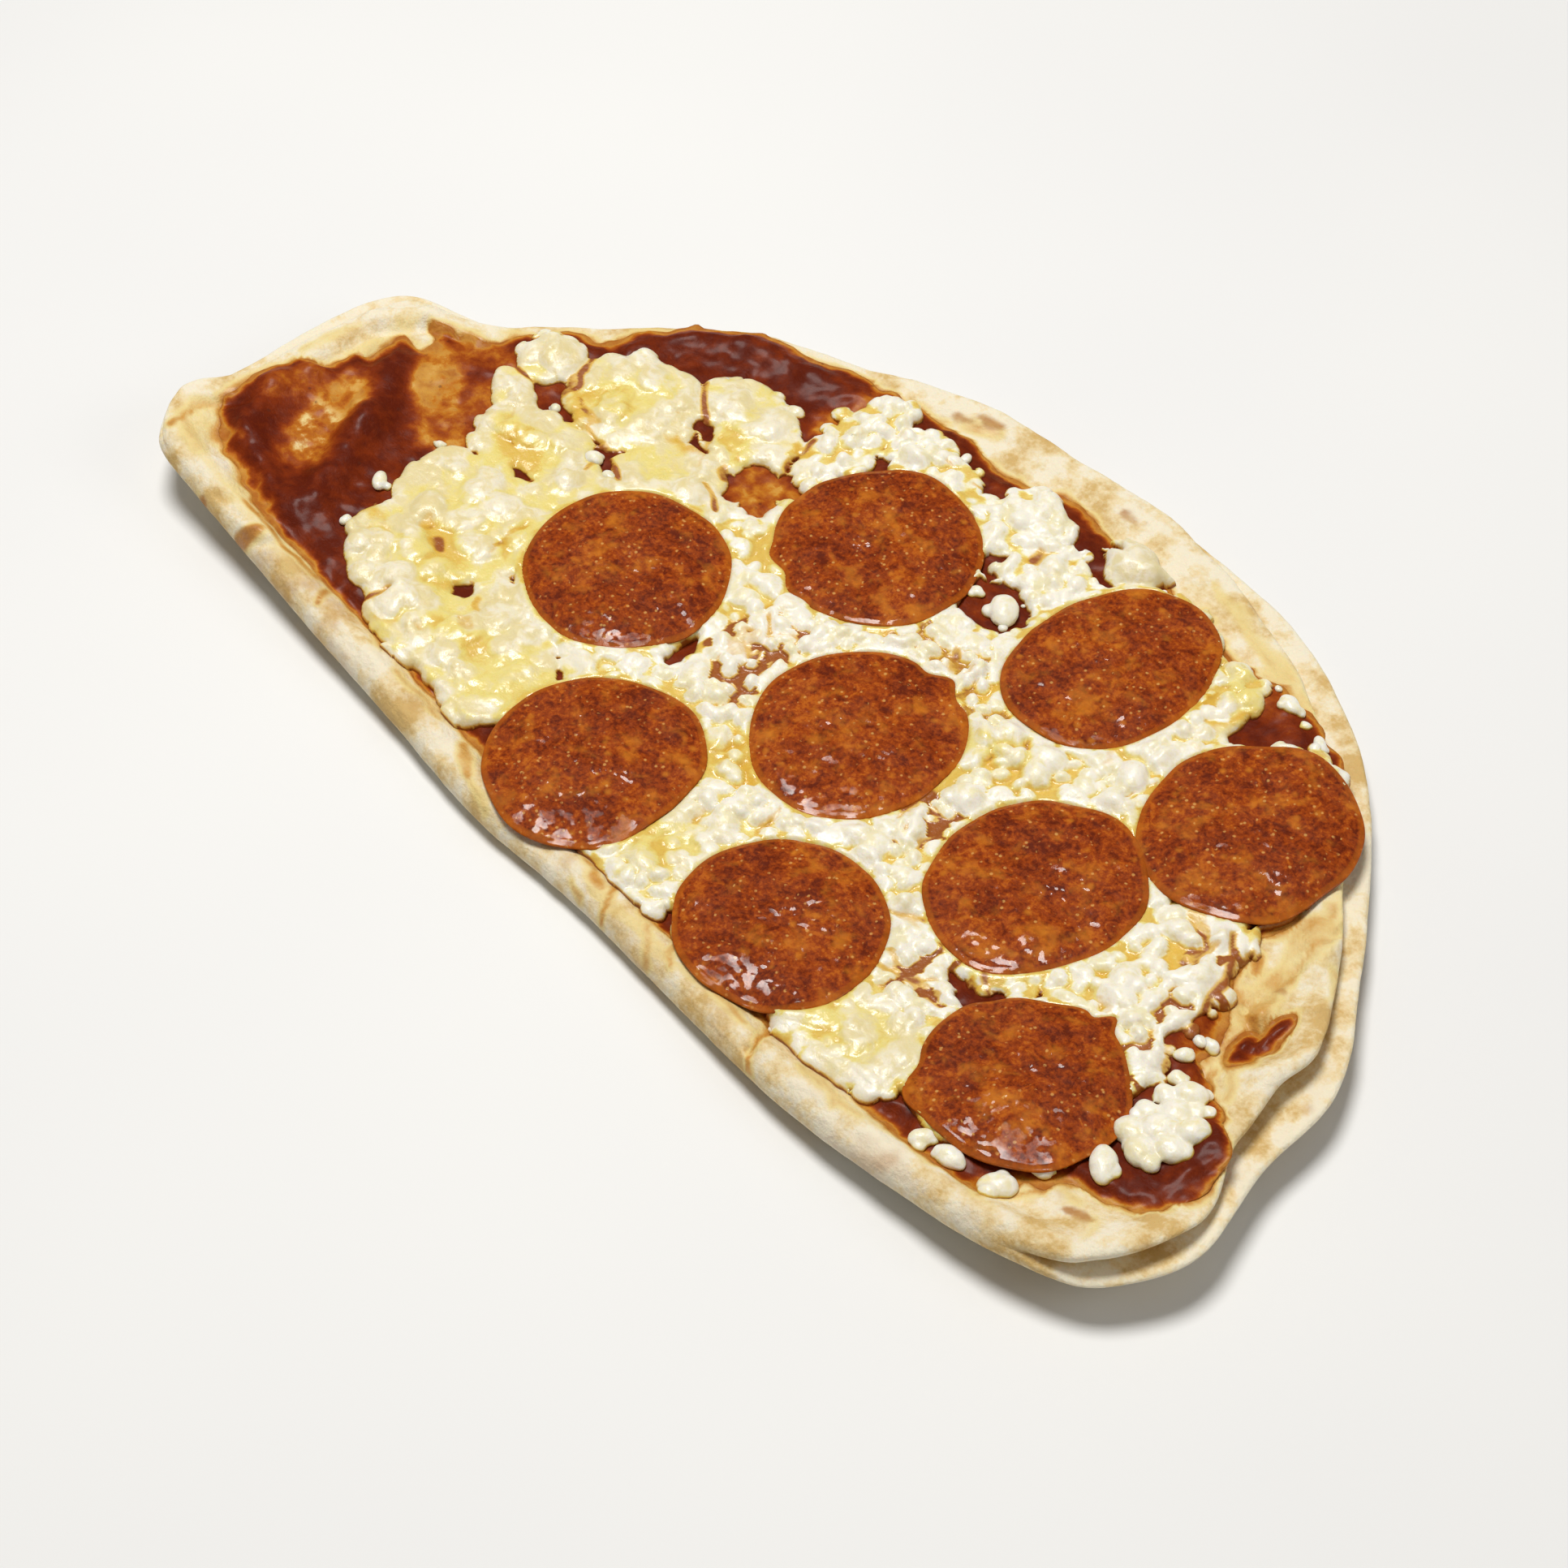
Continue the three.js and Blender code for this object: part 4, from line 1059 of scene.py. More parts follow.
def section_rows():
    """The section's rows with rings between them, on a smooth curve through the rows."""
    rows = np.array(RIM_SECTION, float)
    steps = np.arange(0, len(rows) - 1 + 1e-6, 1 / SECTION_STEPS)
    before = np.clip(steps.astype(int), 0, len(rows) - 2)
    t = (steps - before)[:, None]
    p0, p1 = rows[np.maximum(before - 1, 0)], rows[before]
    p2, p3 = rows[before + 1], rows[np.minimum(before + 2, len(rows) - 1)]
    leave, arrive = (p2 - p0) / 2, (p3 - p1) / 2
    fine = p1 * (1 - 3 * t**2 + 2 * t**3) + p2 * (3 * t**2 - 2 * t**3)
    return fine + leave * (t - 2 * t**2 + t**3) + arrive * (t**3 - t**2)


print(f"the section has {len(section_rows())} rings")

# %% The crepe's rings
UNDER_SHARES = [0.2, 0.4, 0.6, 0.75, 0.86, 0.93]  # rings of the underside, as shares of the outline
FIRST_TOP_INSET = 4.2  # where the rings of the top start
TOP_SHARES = np.concatenate([np.arange(0, 0.27, 0.0068), np.linspace(0.3, 0.94, 11)])
NOSE_WAVE = 0.45  # how far the rim's nose swells in and out
PUFF_WAVE, PUFF_FADE = 0.1, 0.03  # how much the fold's height differs, and how fast that fades inward


def make_crepe():
    """One closed shape: the underside, the rim with its two layers, and the top."""
    o = OUTLINE
    swell = NOSE_WAVE * fractal(o["x"], o["y"], 13, 5, 3)
    puff = 1 + PUFF_WAVE * fractal(o["x"], o["y"], 17, 8, 2)
    rings = []
    for share in UNDER_SHARES:
        x, y = o["x"] * share, o["y"] * share
        rings.append(np.column_stack([x, y, dish(x, y)]))
    for upper, share, inset, height, fold_inset, fold_height in section_rows():
        d = mix(upper * o["setback"] + inset, fold_inset, o["fold"]) - swell * smooth(0, 1.5, height)
        x, y = o["x"] + o["in_x"] * d, o["y"] + o["in_y"] * d
        level = mix(height + share * o["gap"], fold_height * puff, o["fold"])
        relief = crepe_relief(x, y) * smooth(1.8, 4.2, height)
        rings.append(np.column_stack([x, y, dish(x, y) + np.maximum(level + relief, 0)]))
    for share in TOP_SHARES:
        d = FIRST_TOP_INSET + o["setback"] * (1 - o["fold"])
        x, y = (o["x"] + o["in_x"] * d) * (1 - share), (o["y"] + o["in_y"] * d) * (1 - share)
        puffed = (puff - 1) * FOLD_HEIGHT * o["fold"] * np.exp(-share / PUFF_FADE)
        rings.append(np.column_stack([x, y, crepe_top(x, y) + puffed]))
    tips = np.array([[0, 0, 0], [0, 0, crepe_top(np.zeros(1), np.zeros(1))[0]]])
    points = np.vstack(rings + [tips])
    bottom, top = len(points) - 2, len(points) - 1
    last = (len(rings) - 1) * EDGE_STEPS
    faces = np.vstack([
        ring_faces(len(rings), EDGE_STEPS),
        fan_faces(0, EDGE_STEPS, bottom, True), fan_faces(last, EDGE_STEPS, top, False),
    ])
    x, y, z = points.T
    height = z - dish(x, y)
    painted = {
        "stain": oil_stain_and_shade(x, y, sauce_cover(x, y)) * smooth(2.2, 4.2, height),
        "toast": toast_at(x, y) * smooth(1.2, 2.6, height),
    }
    return new_piece("crepe_dough", points, faces, painted)


crepe = make_crepe()
crepe.data.materials.append(dough)
measure(crepe)

# %% [markdown]
# ## The tomato sauce
# Cooked sauce is a dark red-brown skin with small wrinkles and a wet shine, and where it is
# thin it glows orange. It is cut from a fine grid, because its edge wanders freely. What the
# cheese hides is thinned out to few triangles.

# %% Sauce: finish
SAUCE_STOPS = [  # from where only oil shows to where it is thick
    (0.10, (0.62, 0.33, 0.050)), (0.26, (0.50, 0.17, 0.014)), (0.46, (0.33, 0.066, 0.006)),
    (0.68, (0.20, 0.026, 0.003)), (1.0, (0.105, 0.011, 0.002)),
]
HERBS = (0.09, 0.018, 0.008)


def sauce_finish():
    f = Finish("cooked tomato")
    depth, stain = f.painted("depth"), f.painted("stain")
    fine = f.noise(f.place, 0.0016, 4, 0.6)
    skin = f.noise(f.place, 0.0042, 5, 0.62, 0.6)
    wrinkles = f.noise(f.place, 0.0011, 3, 0.6, 0.8)
    uneven = depth + (fine - 0.5) * 0.5 + (skin - 0.5) * 0.55
    red = f.ramp(uneven, SAUCE_STOPS)
    colour = f.blend(dough_colour(f, stain, stain * 0.2), red, f.step(uneven, 0.06, 0.3))
    flecks = f.step(f.cells(f.place, 0.0034), 0.16, 0.08) * f.step(skin, 0.5, 0.6)
    colour = f.blend(colour, HERBS, flecks * 0.6)
    return f.done(
        Base_Color=colour,
        Roughness=0.38 + fine * 0.16,
        Normal=f.bump(skin * 0.5 + wrinkles * 0.5, 0.0005, 0.8),
        Specular_IOR_Level=0.06,
        Coat_Weight=0.09,
        Coat_Roughness=0.22,
        Subsurface_Weight=0.08,
        Subsurface_Radius=(1.0, 0.3, 0.12),
        Subsurface_Scale=0.0015,
    )


# %% Sauce: surface
SAUCE_EDGE, SAUCE_SLOPE = 0.05, 5.5  # its thickness at the edge, and how far in it gets its full one
SAUCE_FOLDS = 1.15  # how strongly its skin is folded
SAUCE_LIFT = 0.3  # so that the folds don't lower it
SAUCE_RIDGES = [  # [x, y, to x, to y, width, height]
    [-123, -1, -113, -16, 3.6, 1.5], [-113, -16, -103, -36, 4.4, 2.3],
    [-132, -24, -124, -38, 3.2, 1.2], [-124, -38, -104, -43, 3.6, 1.3],
    [-116, -22, -112, -33, 4, -0.8], [-90, 54, -66, 61, 3, 0.9],
    [-66, 61, -54, 65, 2.4, 0.7], [-95, 38, -90, 50, 2.4, 0.7],
]


def sauce_surface(x, y, cover):
    """The height of the sauce's top over the base."""
    thick = SAUCE_EDGE + (SAUCE - SAUCE_EDGE) * smooth(0, SAUCE_SLOPE, cover)
    folds = np.abs(fractal(x, y, 5.5, 91, 2)) * 0.5 + 0.2 * fractal(x, y, 2.2, 95, 2)
    relief = ridges(SAUCE_RIDGES, x, y) - folds * SAUCE_FOLDS + SAUCE_LIFT
    return crepe_top(x, y) + thick + relief * smooth(0, 3, cover)


middle = np.zeros(1)
print(f"the sauce is {SAUCE} mm thick, and its top {sauce_surface(middle, middle, middle + 9)[0]:.1f} mm up")


# %% [markdown]
# ## Where the slices lie
# The slices come before the cheese, because the cheese is pressed flat under them and swells
# round them. Each outline is an ellipse with small waves, and a few bumps where the real slice
# has a nub, a notch or a flat side.

# %% The slices' outlines
SLICES = [  # [x, y, half length along x, along y, bumps as [degrees, half width, mm]]
    [-48.9, -0.8, 20.3, 20.6, [[175, 20, 0.6], [-100, 25, -0.6]]],
    [-21.5, 39.7, 20.8, 20.8, [[-112, 9, -1.7], [-88, 7, -0.9], [-128, 6, 0.6]]],
    [31.6, 51.7, 17.8, 22.2, [[60, 22, 0.8], [-120, 20, 0.7]]],
    [-15.9, -35.6, 20, 21.3, [[0, 25, -0.8], [40, 15, 0.7], [-30, 15, 0.5]]],
    [11.4, 5.3, 20, 21, [[84, 6, 1.7], [97, 6, -0.9], [70, 6, -0.6], [-60, 20, 0.6]]],
    [76.9, 41.9, 19.7, 21.2, [[-34, 22, 1.6], [-80, 20, 0.5], [130, 20, -0.5]]],
    [59.6, 4.9, 19.2, 20.4, [[88, 24, 1.3], [35, 22, 1.2], [-66, 27, 1.5], [-150, 20, -0.5]]],
    [35.8, -34.1, 19.8, 19.3, [[-40, 25, 0.6], [120, 20, -0.5]]],
    [89.9, -26.4, 18.5, 18.6, [
        [86, 5, 2.3], [94, 4, -0.8], [236, 11, 1.7], [218, 9, -0.8], [13, 22, 1.6],
        [-25, 18, 1.2], [122, 20, -1.2],
    ]],
]
SLICE_WAVES = [[3, 0.012, 1], [5, 0.01, 2], [11, 0.004, 3]]  # waves round it, share, shift


def slice_radius(number, angle):
    """How far the rim of a slice lies from its middle, in a direction."""
    rx, ry, bumps = SLICES[number][2:5]
    radius = rx * ry / np.hypot(ry * np.cos(angle), rx * np.sin(angle))
    for waves, share, shift in SLICE_WAVES:
        radius = radius * (1 + share * np.sin(waves * angle + shift * (number + 1)))
    for degrees, half_width, size in bumps:
        off = np.degrees(angle) - degrees
        off = (off + 180) % 360 - 180
        radius = radius + size * np.exp(-((off / half_width) ** 2))
    return radius


def slice_distance(x, y):
    """How far outside the nearest slice a place lies, in mm. Negative under a slice."""
    nearest = np.full_like(x, 1e3)
    for number, (cx, cy, *_) in enumerate(SLICES):
        away = np.hypot(x - cx, y - cy) - slice_radius(number, np.arctan2(y - cy, x - cx))
        nearest = np.minimum(nearest, away)
    return nearest


print(len(SLICES), "slices, about", round(np.mean([rx + ry for _, _, rx, ry, _ in SLICES])), "mm across")

# %% [markdown]
# ## The melted cheese
# On the left the cheese melted to a smooth sheet with yellow oil on it. In the middle and on
# the right it stayed in curds, round lumps of three to eight millimetres with deep creases
# where oil and sauce show. Balls of random size, joined by a soft maximum, give both: a wide
# rounding melts them into one another, and a narrow one leaves them apart. Its edge follows
# a list of mounds, less the spots that stayed bare, and frays into beads.

# %% Cheese: where it lies
MOUNDS = [  # [x, y, half length, half width, turn]
    [-103.5, 24, 6.5, 7, 0], [-82.8, 29, 15, 13, 20], [-63.5, 42, 14, 10.5, -12], [-101.5, 12, 7, 4, -15],
    [-84, 5, 16, 12, 0], [-80, -14, 18.5, 15, 0], [-79, -31, 16, 12.5, -15], [-60, -33, 24, 15, 0],
    [-62.8, 19, 12, 13, 0], [-48.8, -1, 23, 23, 0], [-46.5, 55, 7, 16, 0], [-30, 62, 14, 6.5, 0],
    [-7.8, 66, 10, 9.5, 20], [5.2, 60, 9, 9, 0], [15.2, 75.5, 6.5, 8, 10], [31, 52, 19, 23.5, 0],
    [50, 58, 8, 12, 0], [53.2, 39, 12, 19, 0], [76.4, 43, 18.6, 21, 0], [10, 6, 72, 43, 0],
    [10, -36, 14, 15, 0], [-44, -38, 10, 10, 0], [62, -36, 16, 14, 0], [-15.8, -33, 22, 16, 0],
    [35, -34, 22, 15, 0], [89.2, -26, 17, 16, 0], [88.2, 4, 13.5, 20, 0], [97.2, -9, 9, 8, 20],
    [89.2, 20, 9, 5.5, 10],
]
BARE_SPOTS = [  # spots inside the cheese where the sauce shows
    [-50, 33, 6.5, 4.5, -35], [-47.5, 36.5, 2, 4, 20], [-68, 35, 3, 1.4, -10], [-27.2, -4.5, 1.5, 5.2, 4],
    [3.5, 47, 7.5, 6, 0], [1.5, 74.5, 9, 1.6, -6], [-18, 68.5, 2.4, 2.5, 0], [66, -19.3, 3, 1.2, -8],
    [64, 69, 9.5, 2.6, -12], [-82.5, 0.2, 2.2, 1.0, -8], [-66, -27.5, 1.3, 2, 10], [-76, 14.5, 3.4, 1.2, -12],
]
GROOVES = [  # shallow brown lines between islands of cheese: [x, y, to x, to y, width, amount]
    [-107, 16.8, -96, 16.5, 0.7, 1], [-96, 28, -93.5, 22, 0.9, 1], [-97, 31, -95, 27, 1.0, 1],
    [-78.5, 43.5, -70, 36, 0.9, 0.9], [-70, 36, -62, 28.5, 0.9, 0.9], [-51.5, 50, -49.5, 40, 0.9, 1],
    [-85, 17.5, -79, 17.5, 0.8, 0.9], [-79, 17, -68.5, 13, 0.8, 1], [-78, 17, -76, 11, 0.9, 0.9],
    [-57, 26, -50, 23, 0.9, 0.9], [-74.5, -39, -75.5, -46, 0.9, 1], [-23, 13, -18.5, 9.5, 0.6, 0.6],
    [-18.5, 9.5, -16, 3, 0.7, 0.75], [-21, 4, -16, 2.5, 1.0, 0.8], [-16.5, 10.5, -13.3, 15, 0.7, 0.8],
    [-11, -3, -17, -4.4, 0.7, 0.85], [-17, -4.4, -20, -1, 0.6, 0.7], [-13, 7, -12.5, 1, 0.8, 0.8],
    [30.5, 4, 32, -2.5, 0.9, 0.9], [34, 4.5, 36.5, 1.5, 0.6, 0.7], [39.5, 0, 39.3, -3.5, 0.9, 0.9],
    [32, 0, 35.5, -4, 0.6, 0.7], [47, -17, 52.5, -15.3, 0.8, 0.9], [53, -28.5, 57, -26.5, 1.3, 0.9],
    [57, -26.5, 62, -25.3, 0.9, 0.9], [62, -25.3, 69, -26, 0.8, 0.9], [62, -25.3, 63.4, -21.5, 0.7, 0.8],
    [69, -15.5, 73, -18, 0.9, 0.9], [82, 21, 89, 19.2, 0.8, 0.85], [89, 19.2, 92, 12, 0.7, 0.8],
    [92.5, 23, 97, 15.5, 1.1, 0.8], [97, 15.5, 101, 6, 1.2, 0.85], [101, 6, 103.4, -5, 1.4, 1],
    [104, -6, 109, -8, 1.1, 0.9], [108.5, -8, 108.3, -22, 1.3, 1], [109.5, 20, 107, 9, 0.8, 0.7],
    [-30, 64.5, -20, 66, 0.6, 0.6], [0, 62.5, 1.2, 60, 1.4, 0.9], [8.5, 33, 10.5, 30, 1.8, 0.9],
    [47, 66, 47.4, 60, 0.8, 0.8], [57, 31, 57, 38, 0.6, 0.5], [9, 21, 14, 33, 0.5, 0.4],
    [116, -24, 112, -21, 0.9, 0.9], [112, -14, 117, -12, 0.6, 0.6], [-64.6, 29.5, -66.5, 29.5, 1.4, 1],
]
MELTED = [  # where it melted smooth: [x, y, rx, ry, turn, amount]
    [-82, -6, 36, 46, 0, 1.0], [-70, 38, 26, 18, -20, 0.85], [62, -40, 13, 11, 0, 0.9],
    [-45, -35, 20, 16, 0, 0.9], [6, -36, 10, 10, 0, 0.7], [-4, -22, 6, 8, 0, 0.6],
    [53, 62, 7, 7, 0, 0.5], [15.2, 76, 7, 7, 0, 0.9], [98, 36, 6, 10, 0, 0.7],
]
print(len(MOUNDS), "mounds,", len(BARE_SPOTS), "bare spots,", len(GROOVES), "grooves")

# %% Cheese: how far inside its edge a place lies
MIDDLE_SPREAD = 1.3  # mm: curds lie closer, and so spread wider, in the middle
EDGE_BEADS, MELTED_EVEN = 0.75, 0.6  # how far the edge beads, and how much less where it melted
COLLAR = 1.5  # the cheese and oil that lap round each slice reach this far out


def cheese_spread(x, y):
    """How far inside the edge of the cheese a place lies, in mm, if no slice lay on it."""
    cover = np.full_like(x, -9.0)
    for mound in MOUNDS:
        cover = np.maximum(cover, ellipse_inset(mound, x, y))
    cover = cover + 0.3 + MIDDLE_SPREAD * smooth(-48, -22, x) * (1 - smooth(92, 102, x))
    beads = 1 - MELTED_EVEN * spots(MELTED, x, y, 6)
    cover = cover + EDGE_BEADS * beads * balls(x, y, 5.2, 71, 0.5) + 1.2 * noise(x, y, 8, 73)
    cover = cover + 0.4 * noise(x, y, 3.4, 80) + 0.2 * noise(x, y, 2.1, 74)
    cover = np.minimum(cover, sauce_cover(x, y) + 1)
    wx, wy = x + 0.8 * fractal(x, y, 4, 75, 2), y + 0.8 * fractal(x, y, 4, 76, 2)
    ragged = 0.5 * balls(x, y, 3.2, 79, 0.2) + 0.2
    for spot in BARE_SPOTS:
        cover = np.minimum(cover, ragged - 0.9 * ellipse_inset(spot, wx, wy))
    return cover


def cheese_cover(x, y):
    """The same, with the cheese that laps round each slice where there is cheese beside it."""
    spread = cheese_spread(x, y)
    reach = COLLAR * smooth(-1.2, 1, spread)
    return np.maximum(spread, reach - np.abs(slice_distance(x, y) + 0.5))


def groove_at(x, y):
    """How much of a brown groove a place of the cheese lies in."""
    wx, wy = x + 1.7 * fractal(x, y, 5, 75, 2), y + 1.7 * fractal(x, y, 5, 76, 2)
    groove = np.zeros_like(x)
    for line in GROOVES:
        groove = np.maximum(groove, line[5] * np.exp(-((line_distance(line, wx, wy) / line[4]) ** 2)))
    return groove * np.clip(0.8 + 0.55 * noise(x, y, 3.1, 82), 0.25, 1.1)


# %% Cheese: crevices
CREVICES = [  # where the gaps between curds are deep and brown: [x, y, rx, ry, turn, amount]
    [-18, 6, 8, 11, 0, 1.7], [-13, -2, 6, 6, 0, 1.5], [36, 1, 7, 8, 0, 1.3], [56, -22, 18, 6, -6, 1.3],
    [97, 10, 7, 14, 15, 1.2], [104, -10, 7, 10, 0, 1.2], [8, 31, 13, 9, 0, 0.7], [28, 24, 12, 7, 0, 0.7],
    [88, 6, 8, 12, 0, 0.45], [-3, -28, 5, 6, 0, 0.6], [4, -14, 8, 6, 0, 0.5], [40, 30, 6, 10, 0, 0.5],
    [58, 44, 5, 9, 0, 0.5], [52, 60, 7, 8, 0, 0.55], [-68, 31, 9, 6, 0, 0.6], [-92, 20, 9, 6, 0, 0.5],
    [-52, 44, 6, 9, 0, 0.5], [0, 68, 9, 6, 0, 0.5], [-90, -33, 7, 7, 0, 0.4], [-72, -42, 9, 4, 0, 0.4],
]
CREVICE_SHARES = (0.1, 0.42)  # the lowest shares of the relief that lie in a crevice


def crevice_at(x, y, relief):
    """How deep in a brown gap between curds a place lies."""
    low, high = np.quantile(relief, CREVICE_SHARES)
    wx, wy = x + 2 * noise(x, y, 5, 83), y + 2 * noise(x, y, 5, 84)
    return np.clip(spots(CREVICES, wx, wy, 3) * (1 - smooth(low, high, relief)), 0, 1)


# %% Cheese: lumps and stains
BIG_CURDS = [  # single lumps that stand out: [x, y, radius, height]
    [15.6, 76, 7.5, 2.2], [-95, 10, 5, 0.8], [-101, 25, 5, 0.8], [-88.5, -36.5, 3.4, 1.0],
    [-93, -36, 2.6, 1.1], [-71, -42, 3, 0.8], [-81, -41, 3.2, 0.8],
    [103, -8, 3.4, 1.0], [66, -13, 4, 1.0], [52, -19, 4.5, 0.9], [-8, 67, 4.5, 0.9],
    [-62, 14, 3.5, 0.8], [-57, 22, 4, 0.9], [88, 21.5, 4.5, 0.8], [95, 12, 4, 0.9], [-1, -26.5, 2.6, 1.2],
]
CHEESE_STAINS = [  # amber and brown spots in the cheese: [x, y, rx, ry, turn, amount]
    [-78, -25, 2.6, 1.8, 0, 0.75], [-58, -33, 2.6, 1.2, -20, 0.6], [-96, 7, 1.2, 2.4, 20, 0.6],
    [-70.5, -13, 1.0, 5, 5, 0.6], [-87, 20, 4.5, 1.2, -12, 0.7], [-90, 2, 2, 1, 0, 0.6],
    [-84, -23, 1.6, 2, 0, 0.6], [-63, -40, 1.5, 1, 0, 0.55], [-95, 22, 1.2, 4, 15, 0.8],
    [-57, 31, 2.4, 1.6, -30, 0.8], [-61, -28, 3, 0.8, -20, 0.5], [-56, 8, 1, 3, 0, 0.5],
    [-20, 5, 3.4, 4.6, 0, 0.55], [-13, 4, 1.6, 3, 10, 0.6], [-2, -15, 1, 6, 30, 0.5],
    [16.5, -20, 1.2, 4.5, 10, 0.6], [7.5, -29, 2.2, 2.4, 0, 0.45], [36, 17, 1.2, 3, 0, 0.45],
    [50, -17, 3.5, 1.2, 15, 0.6], [60, -25, 7, 1.6, -2, 0.7], [57, 48, 3, 1, 0, 0.45],
    [86, 20.5, 4.5, 1.4, -10, 0.7], [91, 15, 1.5, 4.5, -10, 0.7], [88, -5, 3, 1.4, -30, 0.5],
    [98, 22, 2.2, 1.6, -30, 0.85], [100, 31, 1.4, 7, 12, 0.6], [46, 38, 1.4, 5, 20, 0.5],
]
LARGE_CURDS, SMALL_CURDS = 6.4, 3.5  # mm from one to the next


def cheese_relief(x, y):
    """The lumps of the cheese, and how smoothly it has melted there."""
    melted = spots(MELTED, x + 4 * noise(x, y, 11, 77), y + 4 * noise(x, y, 11, 78), 6)
    large, small = balls(x, y, LARGE_CURDS, 101, 0.25), balls(x, y, SMALL_CURDS, 111, 0.14)
    curds = soft_max(0.72 * large, 0.9 * small + 0.25 + 0.7 * noise(x, y, 9, 113), 0.3)
    curds = 0.35 + curds + 0.1 * noise(x, y, 1.3, 115)
    flow = 0.3 + 0.4 * fractal(x, y, 12, 121, 2) + 0.2 * balls(x, y, 7.4, 125, 2.6)
    flow = flow + 0.13 * balls(x, y, 4.0, 131, 1.0) + 0.24 * fractal(x, y, 5.2, 133, 2)
    flow = flow + 0.07 * fractal(x * 0.6 + y * 0.5, y - x * 0.5, 2.4, 135, 2)
    relief = mix(curds, flow, melted)
    for cx, cy, radius, height in BIG_CURDS:
        share = np.clip(1 - ((x - cx) ** 2 + (y - cy) ** 2) / radius**2, 0, 1)
        lump = relief * 0.3 + height * np.sqrt(share) * (share > 0) * 1.3 - 3 * (share <= 0)
        relief = np.maximum(relief, lump)
    return relief, melted


across = np.linspace(-100, 100, 400)
heights, smoothness = cheese_relief(across, 0 * across)
print(f"along the middle, the curds rise and fall by {np.ptp(heights[smoothness < 0.1]):.1f} mm")

# %% Cheese: height
CHEESE_ROUND = 2.3  # radius of a mound's rounded edge
CHEESE_BODY, CHEESE_MORE = 0.7, 1.3  # height at the edge, and how much more in the middle
LAP_HEIGHT = 0.45  # how far the cheese laps up a slice's rim
LAP_MOST, LEAST_CHEESE = 2.4, 0.15  # mm over the sauce that the lap may rise, and the thinnest cheese
RIM_PRESSED, RIM_SWELL = -0.3, 0.75  # the cheese against a slice's underside, and just outside it
LEAST_BODY = 0.25
GROOVE_SINKS, STAIN_SINKS, CREVICE_SINKS = 0.8, 0.35, 0.75  # what each takes from the height


def cheese_surface(x, y, cover):
    """The cheese's base and top, and its relief, from 0 in a crease to 1 on a lump."""
    base = sauce_bed(x, y) + 0.1
    relief, melted = cheese_relief(x, y)
    rounding = np.sqrt(1 - (1 - np.clip(cover / CHEESE_ROUND, 0, 1)) ** 2)
    body = CHEESE_BODY + CHEESE_MORE * smooth(0, 9, cover) + relief
    body = body * (1 - GROOVE_SINKS * groove_at(x, y))
    body = body * (1 - STAIN_SINKS * spots(CHEESE_STAINS, x, y, 1.2))
    body = body * (1 - CREVICE_SINKS * crevice_at(x, y, relief))
    free = base + rounding * np.maximum(body, LEAST_BODY)
    away = slice_distance(x, y)
    bed = dish(x, y) + SLICE_BED
    rim = bed + mix(RIM_PRESSED, RIM_SWELL, smooth(-0.9, 0.4, away))
    lap = np.minimum(bed + LAP_HEIGHT - 0.8 * smooth(0.3, COLLAR + 1, away), base + LAP_MOST)
    free = np.maximum(free, base + (lap - base) * rounding)
    top = mix(np.minimum(free, rim), free, smooth(0.3, 3.2, away))
    top = np.where(away < 0.5, np.minimum(top, rim), top)
    lumpy = mix(smooth(-0.7, 1.1, relief), smooth(-0.25, 0.75, relief), melted)
    return base, np.maximum(top, base + LEAST_CHEESE), lumpy, melted, away


# %% [markdown]
# ## The cheese's finish
# Fresh curds are milky, and where they melted they turn ivory and then yellow as their oil
# comes out. The melted colour is also kept darker as painted shade, for the dimmer left where
# most of it lies. Brown shows in the creases. All of it is one blend of colours, led by three
# numbers that each point of the mesh carries: its oil, how thin it is, and how far it has melted.

# %% Cheese: finish
MILK, IVORY, BUTTER = (0.88, 0.84, 0.73), (0.82, 0.75, 0.50), (0.80, 0.66, 0.16)
OILY, CREASE, SMOOTH = (0.70, 0.42, 0.045), (0.30, 0.070, 0.006), (0.74, 0.62, 0.31)


def cheese_finish():
    f = Finish("melted cheese")
    oil, thin, melt = f.painted("oil"), f.painted("thin"), f.painted("melt")
    clouds = f.noise(f.place, 0.007, 3, 0.55)
    fine = f.noise(f.place, 0.0014, 3, 0.6)
    streaks = f.noise(f.place, 0.0034, 4, 0.6, 1.2)
    colour = f.ramp(clouds * 0.4 + streaks * 0.35 + fine * 0.25, [(0.42, IVORY), (0.52, MILK)])
    dull = f.step(clouds * 0.5 + streaks * 0.5, 0.6, 0.4)
    # melted cheese turns ivory-grey, and this colour is also darker as painted shade for the dimmer left
    colour = f.blend(colour, SMOOTH, melt * (dull * 0.6 + 0.3))
    yellow = f.step(oil + (clouds - 0.5) * 0.9 + (streaks - 0.5) * 1.1 + melt * 0.06, 0.34, 0.78)
    colour = f.blend(colour, BUTTER, yellow * 0.85)
    colour = f.blend(colour, OILY, f.step(oil + (streaks - 0.5) * 0.9 + melt * 0.06, 0.68, 1.05) * 0.7)
    shallow = thin + (fine - 0.5) * 0.3
    colour = f.blend(colour, OILY, f.step(shallow, 0.22, 0.55) * 0.9)
    colour = f.blend(colour, CREASE, f.step(shallow, 0.5, 0.85) * 0.95)
    return f.done(
        Base_Color=colour,
        Roughness=0.34 - yellow * 0.1 + fine * 0.08,
        Normal=f.bump(fine * 0.7 + clouds * 0.3, 0.0004, 0.7),
        Coat_Weight=0.12 + yellow * 0.2,
        Coat_Roughness=0.07,
        Subsurface_Weight=0.45,
        Subsurface_Radius=(1.0, 0.8, 0.45),
        Subsurface_Scale=0.0022,
    )


